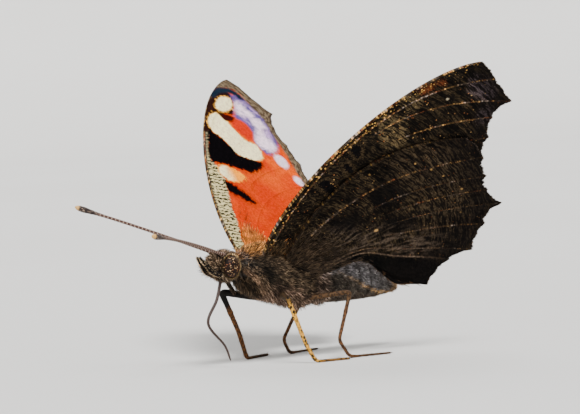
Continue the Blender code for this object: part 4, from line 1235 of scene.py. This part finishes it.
def make_wing_hair(hair):
    """Golden hair on the upper bases of the forewings, brown hair on the other bases and along the hindwings'
    inner edges, and a fringe round every wing."""
    for side in ("left", "right"):
        fore, hind = WINGS["forewing_" + side], WINGS["hindwing_" + side]
        wing_hairs("forewing_" + side + "_base_hair", fore, "upper", 4600, forewing_base, 1.0, 0.05, 0.15,
                   colour(186, 108, 40), hair)
        wing_hairs("forewing_" + side + "_under_hair", fore, "under", 450, near_root(2.8, 1.8), 0.6, 0.07,
                   0.22, colour(70, 54, 36), hair)
        wing_hairs("hindwing_" + side + "_base_hair", hind, "upper", 4200, hindwing_base, 1.3, 0.09, 0.22,
                   colour(86, 62, 40), hair)
        wing_hairs("hindwing_" + side + "_under_hair", hind, "under", 1700, hindwing_under_base, 0.7, 0.06,
                   0.2, colour(58, 46, 34), hair)
        wing_fringe("forewing_" + side + "_fringe", fore, 1300, hair)
        wing_fringe("hindwing_" + side + "_fringe", hind, 1300, hair)


# Feelers, mouthparts and legs: profiles carried along a route
ANTENNA_RING_PITCH = 0.42
TONGUE_RING_PITCH = 0.16
FOOT_STARTS = 0.76
FOOT_RINGS = 5
LEG_SIDES = 18
CLAW_LENGTH = 0.30
CLAW_SPREAD = 0.12
CLAW_RADIUS = 0.045


def frames_along(route):
    """Tangents of a route and two directions square to them, carried along without twist."""
    tangents = unit(np.gradient(route, axis=0))
    side = np.cross(tangents[0], (0.3, 0.2, 1.0))
    sides = []
    for tangent in tangents:
        side = side - tangent * (side @ tangent)
        side = side / np.linalg.norm(side)
        sides.append(side)
    sides = np.array(sides)
    return tangents, sides, np.cross(tangents, sides)


def lengths_along(route):
    """The length of the route up to each of its points."""
    return np.concatenate([[0.0], np.cumsum(np.linalg.norm(np.diff(route, axis=0), axis=1))])


def resample(route, count):
    """Evenly spaced points on a route, by its length."""
    along = lengths_along(route)
    at = np.linspace(0, along[-1], count)
    return np.column_stack([np.interp(at, along, route[:, k]) for k in range(3)])


def bent_route(points, rounding):
    """Straight runs whose corners are turned on short quadratic arcs."""
    points = np.asarray(points, float)
    route = [points[0]]
    for before, corner, after in zip(points, points[1:], points[2:]):
        start = corner + rounding * unit(before - corner)
        end = corner + rounding * unit(after - corner)
        t = np.linspace(0, 1, 9)[:, None]
        route.extend((1 - t) ** 2 * start + 2 * t * (1 - t) * corner + t**2 * end)
    return np.array([*route, points[-1]])


def circles(route, radii, turn):
    """Circles of the given radii, square to a route: a cosine one way and a sine the other."""
    _, across, up = frames_along(route)
    ring = across[:, None] * np.cos(turn)[None, :, None] + up[:, None] * np.sin(turn)[None, :, None]
    return route[:, None] + ring * np.asarray(radii)[:, None, None]


def rod(name, route, radii, material, sides, replaces=()):
    """Circles carried along a route and closed at both ends, with the share of the route, the turn and the
    length in millimetres at each point."""
    rows = len(route)
    turn = np.linspace(0, 2 * math.pi, sides, endpoint=False)
    fields = {
        "share": np.repeat(np.linspace(0, 1, rows)[:, None], sides, axis=1),
        "around": np.repeat(turn[None], rows, axis=0),
        "length": np.repeat(lengths_along(route)[:, None], sides, axis=1),
    }
    return closed_tube(name, circles(route, radii, turn), material, None, fields, replaces)


def radius_at(profile, shares):
    """Radii read from a profile of (share, radius), with straight runs between."""
    places, radii = zip(*profile)
    return np.interp(shares, places, radii)


def hairs_on_rod(name, route, radii, count, span, length, width, rise, shade, material, sag=0.2,
                 stations=3):
    """Tufts rooted on a rod between two shares of its length, all leaning towards its far end."""
    tangents, across, up = frames_along(route)
    share = DRAW.uniform(*span, count)
    turn = DRAW.uniform(0, 2 * math.pi, count)
    at = share * (len(route) - 1)
    normal = unit(sampled(across, at) * np.cos(turn)[:, None] + sampled(up, at) * np.sin(turn)[:, None])
    radius = np.interp(at, np.arange(len(radii)), radii)
    roots = sampled(route, at) + normal * (radius * 0.85)[:, None]
    lie = unit(sampled(tangents, at) + DRAW.normal(0, 0.12, (count, 3)))
    lengths = length * DRAW.uniform(0.7, 1.2, count)
    tint = shade(share, turn) * DRAW.uniform(0.75, 1.25, (count, 1))
    chart = np.stack([share, turn / (2 * math.pi)], axis=1)
    widths = width * DRAW.uniform(0.7, 1.3, count)
    return tufts(name, roots, normal, lie, lengths, widths, rise, tint, chart, material, sag, stations)


def plain_shade(shade):
    """The same shade for every hair."""
    return lambda share, turn: shade + 0 * share[:, None]


def make_eyes():
    """Ellipsoids from one pole to the other, brown and speckled with painted highlights, with a fine net of
    lenses in relief.
    """
    f = Finish("eye_lenses", 0.5, 0.12)
    place = f.place()
    speck = f.cells(place, 5.2)
    base = f.mix(f.step(f.noise(place, 1.3, 2.0), 0.35, 0.65), colour(12, 7, 5), colour(38, 20, 12))
    # Painted highlights: tan and cream specks that stand for glints of light on the lenses.
    highlight_tone = f.mix(f.step(f.noise(place, 2.0, 1.0), 0.4, 0.6), colour(128, 74, 44), colour(220, 178, 128))
    base = f.mix(f.step(speck, 0.36, 0.18), base, highlight_tone)
    f.relief(f.cells(place, 14.0), 0.02, 0.5)
    finish = f.coat(base)
    lift = np.linspace(0.02, math.pi - 0.02, 48)
    turn = np.linspace(0, 2 * math.pi, 64, endpoint=False)
    lift, turn = np.meshgrid(lift, turn, indexing="ij")
    ball = np.stack([np.sin(lift) * np.cos(turn), np.cos(lift), -np.sin(lift) * np.sin(turn)], axis=-1)
    for side, sign in (("left", -1), ("right", 1)):
        points = ball * np.array(EYE_RADII) + eye_centre(sign)
        closed_tube("eye_" + side + "_lenses", points[:, ::-1], finish, replaces=("eye_" + side,))


def make_eye_rims(material):
    """A ring of short pale scales round each eye, lying away from it over the head, palest behind it."""
    count = 900
    for side, sign in (("left", -1), ("right", 1)):
        turn = DRAW.uniform(0, 2 * math.pi, count)
        depth = DRAW.normal(0.02, 0.05, count)
        ring = np.stack([np.cos(turn), sign * depth, np.sin(turn)], axis=1)
        roots = eye_centre(sign) + ring * (np.array(EYE_RADII) * 1.01)
        normals = np.tile((0.0, sign, 0.0), (count, 1))
        lie = unit(ring * (1, 0, 1) + DRAW.normal(0, 0.2, (count, 3)))
        behind = np.clip(0.55 + 0.6 * np.cos(turn + 0.5 * sign), 0.12, 1.0)[:, None]
        tint = colour(168, 140, 98) * behind * DRAW.lognormal(-0.4, 0.8, (count, 1))
        lengths = DRAW.uniform(0.10, 0.34, count)
        chart = np.stack([0.1 + 0.05 * np.cos(turn), 0.3 + 0.05 * np.sin(turn)], axis=1)
        tufts("eye_rim_" + side, roots, normals, lie, lengths, np.full(count, 0.04), 0.3, tint, chart,
              material)


def make_antennae():
    """Slender shafts ringed by a sine of the length, that swell into a blunt dark club with a tan tip."""
    f = Finish("antenna_rings", 0.6, 0.35)
    share, length = f.field("share"), f.field("length")
    band = f.sine(f.times(length, 2 * math.pi / ANTENNA_RING_PITCH))
    speck = f.cells(f.join(f.times(f.field("around"), 0.35), length), 5.5)
    base = f.mix(f.step(band, 0.45, 0.95, 0.0, 0.8), colour(70, 40, 28), colour(176, 154, 138))
    base = f.mix(f.step(share, 0.84, 0.875), base, colour(38, 24, 20))
    dots = f.times(f.step(share, 0.83, 0.87), f.step(speck, 0.36, 0.20))
    base = f.mix(dots, base, colour(176, 150, 130))
    base = f.mix(f.step(share, 0.972, 0.984), base, colour(206, 160, 92))
    f.relief(band, 0.03, 0.4)
    finish = f.coat(base)
    shares = np.linspace(0, 1, 320)
    for side, route in ANTENNA_ROUTES.items():
        line = resample(smooth_rows(route, 61), len(shares))
        ripple = 0.012 * np.sin(lengths_along(line) * 2 * math.pi / ANTENNA_RING_PITCH) * (shares < 0.9)
        rod("antenna_" + side + "_ringed", line, radius_at(ANTENNA_RADII, shares) + ripple, finish, 18,
            ("antenna_" + side,))


def palp_shade(share, turn):
    """Black scales with a pale line along one side, where a sine of the turn is high, and pale specks."""
    line = (0.5 + 0.5 * np.sin(turn + 0.6) + DRAW.normal(0, 0.04, len(turn)))[:, None] > 0.93
    speck = DRAW.uniform(size=(len(turn), 1)) < 0.06
    return np.where(line | speck, colour(214, 186, 146), colour(20, 17, 16))


def make_palps(hair):
    """Upturned palps in front of the face, scaled and bristled."""
    f = Finish("palp_skin", 0.8, 0.3)
    grain = f.noise(f.place((1, 3, 3)), 3.0, 3.0)
    f.relief(grain, 0.04, 0.6)
    skin = f.coat(f.mix(f.step(grain, 0.35, 0.65), colour(26, 22, 20), colour(64, 52, 44)))
    for side, sign in (("left", -1), ("right", 1)):
        line = resample(smooth_rows(np.asarray(PALP_ROUTE) * (1.0, sign, 1.0), 31), 60)
        radii = radius_at(PALP_RADII, np.linspace(0, 1, 60))
        rod("palp_" + side + "_core", line, radii, skin, 16, ("palp_" + side,))
        hairs_on_rod("palp_" + side + "_scales", line, radii, 1500, (0.02, 0.97), 0.32, 0.07, 0.30,
                     palp_shade, hair)
        hairs_on_rod("palp_" + side + "_bristles", line, radii, 160, (0.0, 0.7), 0.75, 0.04, 0.55,
                     plain_shade(colour(24, 20, 18)), hair)


def make_tongue():
    """A thin tapering tongue, ringed by a sine of its length."""
    f = Finish("tongue_rings", 0.38, 0.5)
    rings = f.sine(f.times(f.field("length"), 2 * math.pi / TONGUE_RING_PITCH))
    f.relief(rings, 0.02, 0.4)
    finish = f.coat(f.mix(f.step(rings, -0.4, 0.8), colour(30, 16, 11), colour(66, 38, 26)))
    line = resample(smooth_rows(PROBOSCIS_ROUTE, 49), 220)
    rod("tongue", line, radius_at(PROBOSCIS_RADII, np.linspace(0, 1, 220)), finish, 16,
        ("proboscis_upper", "proboscis_lower"))


# Shades of each leg's thigh, shin and foot, and the share of the leg at which the thigh's shade ends
LEG_SHADES = {
    "mid_left": (colour(70, 52, 32), colour(226, 166, 66), colour(130, 90, 42), 0.31),
    "mid_right": (colour(9, 7, 6), colour(104, 64, 32), colour(78, 52, 30), 0.36),
    "hind_left": (colour(86, 62, 40), colour(100, 66, 40), colour(78, 52, 30), 0.36),
    "hind_right": (colour(40, 28, 19), colour(100, 66, 40), colour(78, 52, 30), 0.36),
}


def leg_shade(name):
    """A leg's shades as a function of the share of its length."""
    thigh, shin, foot, knee = LEG_SHADES[name]

    def shade(share, turn):
        """Thigh, then shin, then foot, blended where they meet."""
        tint = blend((share - knee) / 0.05, thigh + 0 * share[:, None], shin)
        return blend((share - FOOT_STARTS) / 0.06, tint, foot)

    return shade


def leg_finish(name, spots_per_mm, spot_share):
    """Scaled skin in the leg's own shades, with dark spots of a given size and strength."""
    f = Finish("leg_" + name, 0.7, 0.15)
    spots = f.cells(f.place((1, 1, 0.7)), spots_per_mm)
    base = f.mix(f.step(spots, 0.50, 0.40, 0.0, spot_share), f.tint("tint"), colour(16, 11, 7))
    grain = f.noise(f.place(), 7.0, 3.0)
    f.relief(grain, 0.03, 0.5)
    return f.coat(f.shade_by(base, f.step(grain, 0.3, 0.7, 0.75, 1.2)))


def make_claws(name, line, finish):
    """Two hooks at the end of a foot: forwards by a straight run, apart by a sine, and down by a square."""
    ahead = unit(line[-1] - line[-6])
    aside = unit(np.cross(ahead, (0, 0, 1.0)))
    t = np.linspace(0, 1, 14)[:, None]
    for number, way in enumerate((-1, 1)):
        hook = line[-1] - ahead * 0.04 + ahead * CLAW_LENGTH * t + aside * way * CLAW_SPREAD * np.sin(t * 2.2)
        hook = hook + np.array([0, 0, 1.0]) * (0.05 * np.sin(t * 3.1) - 0.07 * t**2)
        rod(f"claw_{name}_{number}", hook, CLAW_RADIUS * (1 - 0.85 * t[:, 0]), finish, 10)


def make_legs(hair):
    """Each walking leg in one run from hip to claws, with swollen joints, five rings in the foot, scales and
    spines."""
    plain, spotted = leg_finish("scales", 4.6, 0.8), leg_finish("spotted_scales", 3.7, 1.0)
    f = Finish("claws", 0.3, 0.5)
    claw_finish = f.coat(f.mix(f.noise(f.place(), 6.0), colour(30, 20, 14), colour(60, 40, 26)))
    shares = np.linspace(0, 1, 260)
    foot = ramp(shares, FOOT_STARTS, 0.03)
    joints = np.abs(np.sin((shares - FOOT_STARTS) / (1 - FOOT_STARTS) * FOOT_RINGS * math.pi))
    turn = np.linspace(0, 2 * math.pi, LEG_SIDES, endpoint=False)
    for name, (hip, knee, ankle, heel, toe) in LEGS.items():
        flat = [to_body((*heel, 0.155)), to_body((*toe, 0.135))]
        line = resample(bent_route([hip, knee, ankle, *flat], 0.5), len(shares))
        radii = radius_at(LEG_RADII, shares) * (1 - 0.16 * foot * (1 - joints) ** 3) * SLENDER[name]
        shade = leg_shade(name)

        def scale_shade(share, turn):
            """The leg's own shade, each scale near black, darker or lighter by an even draw from five."""
            return shade(share, turn) * DRAW.choice((0.04, 0.05, 0.7, 1.1, 1.4), (len(share), 1))

        closed_tube("leg_" + name, circles(line, radii, turn), spotted if name == "mid_left" else plain,
                    np.repeat(shade(shares, None)[:, None], LEG_SIDES, axis=1), None,
                    (f"femur_{name}", f"tibia_{name}", f"tarsus_{name}"))
        hairs_on_rod(f"leg_{name}_scales", line, radii, 560, (0.06, 0.75), 0.22, 0.09, 0.12, scale_shade,
                     hair)
        hairs_on_rod(f"leg_{name}_spines", line, radii, 150, (0.44, 0.985), 0.30, 0.035, 0.5,
                     plain_shade(colour(20, 13, 9)), hair, 0.1, 2)
        make_claws(name, line, claw_finish)


def make_forelegs(hair):
    """The small folded forelegs, each a thin core under a brush; the right one, in shade, is darker."""
    f = Finish("foreleg_skin", 0.8, 0.3)
    grain = f.noise(f.place(), 5.0, 3.0)
    f.relief(grain, 0.03, 0.5)
    skin = f.coat(f.mix(f.step(grain, 0.35, 0.65), colour(52, 40, 32), colour(92, 74, 60)))
    for side, sign, brush in (("left", -1, colour(92, 72, 55)), ("right", 1, colour(46, 36, 27))):
        line = resample(smooth_rows(np.asarray(FORELEG_ROUTE) * (1.0, sign, 1.0), 31), 60)
        radii = radius_at(FORELEG_RADII, np.linspace(0, 1, 60))

        def brush_shade(share, turn):
            """The brush's shade times a log-normal draw for each hair."""
            return brush * DRAW.lognormal(-0.3, 0.9, (len(share), 1))

        rod("foreleg_" + side + "_core", line, radii, skin, 14, ("foreleg_" + side,))
        hairs_on_rod("foreleg_" + side + "_brush", line, radii, 2600, (0.02, 0.98), 0.50, 0.06, 0.24,
                     brush_shade, hair)


# The studio, in metres
FLOOR_RADIUS = 1.6
WALL_RADIUS = 0.9
FLOOR_SIDES = 72
LAMPS = (
    ("key", (-0.16, -0.34, 0.46), 22.0, 4.6),
    ("fill", (-0.42, -0.10, 0.22), 60.0, 1.2),
    ("back", (0.30, 0.30, 0.40), 50.0, 1.4),
)


def make_floor():
    """A pale round floor whose far rim turns up on a quarter circle."""
    f = Finish("floor_paper", 0.95, 0.0)
    mottle = f.noise(f.node("TexCoord").outputs["Object"], 6.0, 3.0)
    paper = f.coat(f.mix(mottle, colour(224, 222, 218), colour(230, 229, 226)))
    bend = np.linspace(0, math.pi / 2, 24)[1:]
    reach = np.concatenate([np.linspace(0.02, FLOOR_RADIUS, 24), FLOOR_RADIUS + WALL_RADIUS * np.sin(bend)])
    height = np.concatenate([np.zeros(24), WALL_RADIUS * (1 - np.cos(bend))])[:, None]
    turn = np.linspace(0, 2 * math.pi, FLOOR_SIDES, endpoint=False)
    reach = reach[:, None]
    ring = np.stack([reach * np.cos(turn), reach * np.sin(turn), height + 0 * turn], axis=-1)
    points = np.vstack([ring.reshape(-1, 3), (0, 0, 0)])
    faces = grid_faces(len(reach), FLOOR_SIDES, around=True)[:, ::-1].tolist()
    middle = [(len(points) - 1, k, (k + 1) % FLOOR_SIDES) for k in range(FLOOR_SIDES)]
    mesh = bpy.data.meshes.new("floor")
    mesh.from_pydata(points.tolist(), [], faces + middle)
    mesh.materials.append(paper)
    mesh.shade_smooth()
    floor = bpy.data.objects.new("floor", mesh)
    bpy.context.scene.collection.objects.link(floor)


def make_lights():
    """A pale even sky, a soft key light from the front left, a broad fill and a broad light from behind."""
    world = bpy.data.worlds.new("studio")
    world.use_nodes = True
    sky = world.node_tree.nodes["Background"]
    sky.inputs["Color"].default_value = (0.82, 0.83, 0.86, 1)
    sky.inputs["Strength"].default_value = 0.36
    bpy.context.scene.world = world
    for name, spot, spread, power in LAMPS:
        lamp = bpy.data.lights.new(name, "SUN")
        lamp.angle = math.radians(spread)
        lamp.energy = power
        light = bpy.data.objects.new(name, lamp)
        light.location = spot
        light.rotation_euler = (-Vector(spot)).to_track_quat("-Z", "Y").to_euler()
        bpy.context.scene.collection.objects.link(light)


# The photograph's view of the body's frame: radians, and millimetres to the lens and across the picture
VIEW_YAW = 0.670292
VIEW_PITCH = -0.049769
VIEW_ROLL = -0.048836
VIEW_DISTANCE = 300
VIEW_RIGHT = 2.68
VIEW_UP = 5.65
LENS_LENGTH = 180.4


def make_camera():
    """A camera turned, tipped and rolled about the body's frame, then carried into the row frame with it."""
    yaw, pitch = VIEW_YAW, VIEW_PITCH
    back = np.array([-math.sin(yaw) * math.cos(pitch), -math.cos(yaw) * math.cos(pitch), math.sin(pitch)])
    right = np.array([math.cos(yaw), -math.sin(yaw), 0.0])
    up = np.cross(back, right)
    c, s = math.cos(VIEW_ROLL), math.sin(VIEW_ROLL)
    right, up = c * right - s * up, s * right + c * up
    eye = VIEW_DISTANCE * back + VIEW_RIGHT * right + VIEW_UP * up
    tip = Matrix.Rotation(BODY_PITCH, 3, "Y")
    axes = Matrix([tip @ Vector(right), tip @ Vector(up), tip @ Vector(back)]).transposed()
    lens = bpy.data.cameras.new("camera")
    lens.sensor_width = 36.0
    lens.lens = LENS_LENGTH
    lens.clip_start = 0.01
    camera = bpy.data.objects.new("camera", lens)
    camera.matrix_world = Matrix.Translation(Vector(to_row(eye))) @ axes.to_4x4()
    bpy.context.scene.collection.objects.link(camera)
    bpy.context.scene.camera = camera


long_hair = coat_finish("long_hair", 0.7)
short_hair = coat_finish("short_hair", 0.65)
make_trunk()
make_coat(long_hair, short_hair)
make_wing_hair(long_hair)
make_eyes()
make_eye_rims(long_hair)
make_antennae()
make_palps(short_hair)
make_tongue()
make_legs(short_hair)
make_forelegs(long_hair)
make_floor()
make_lights()
make_camera()
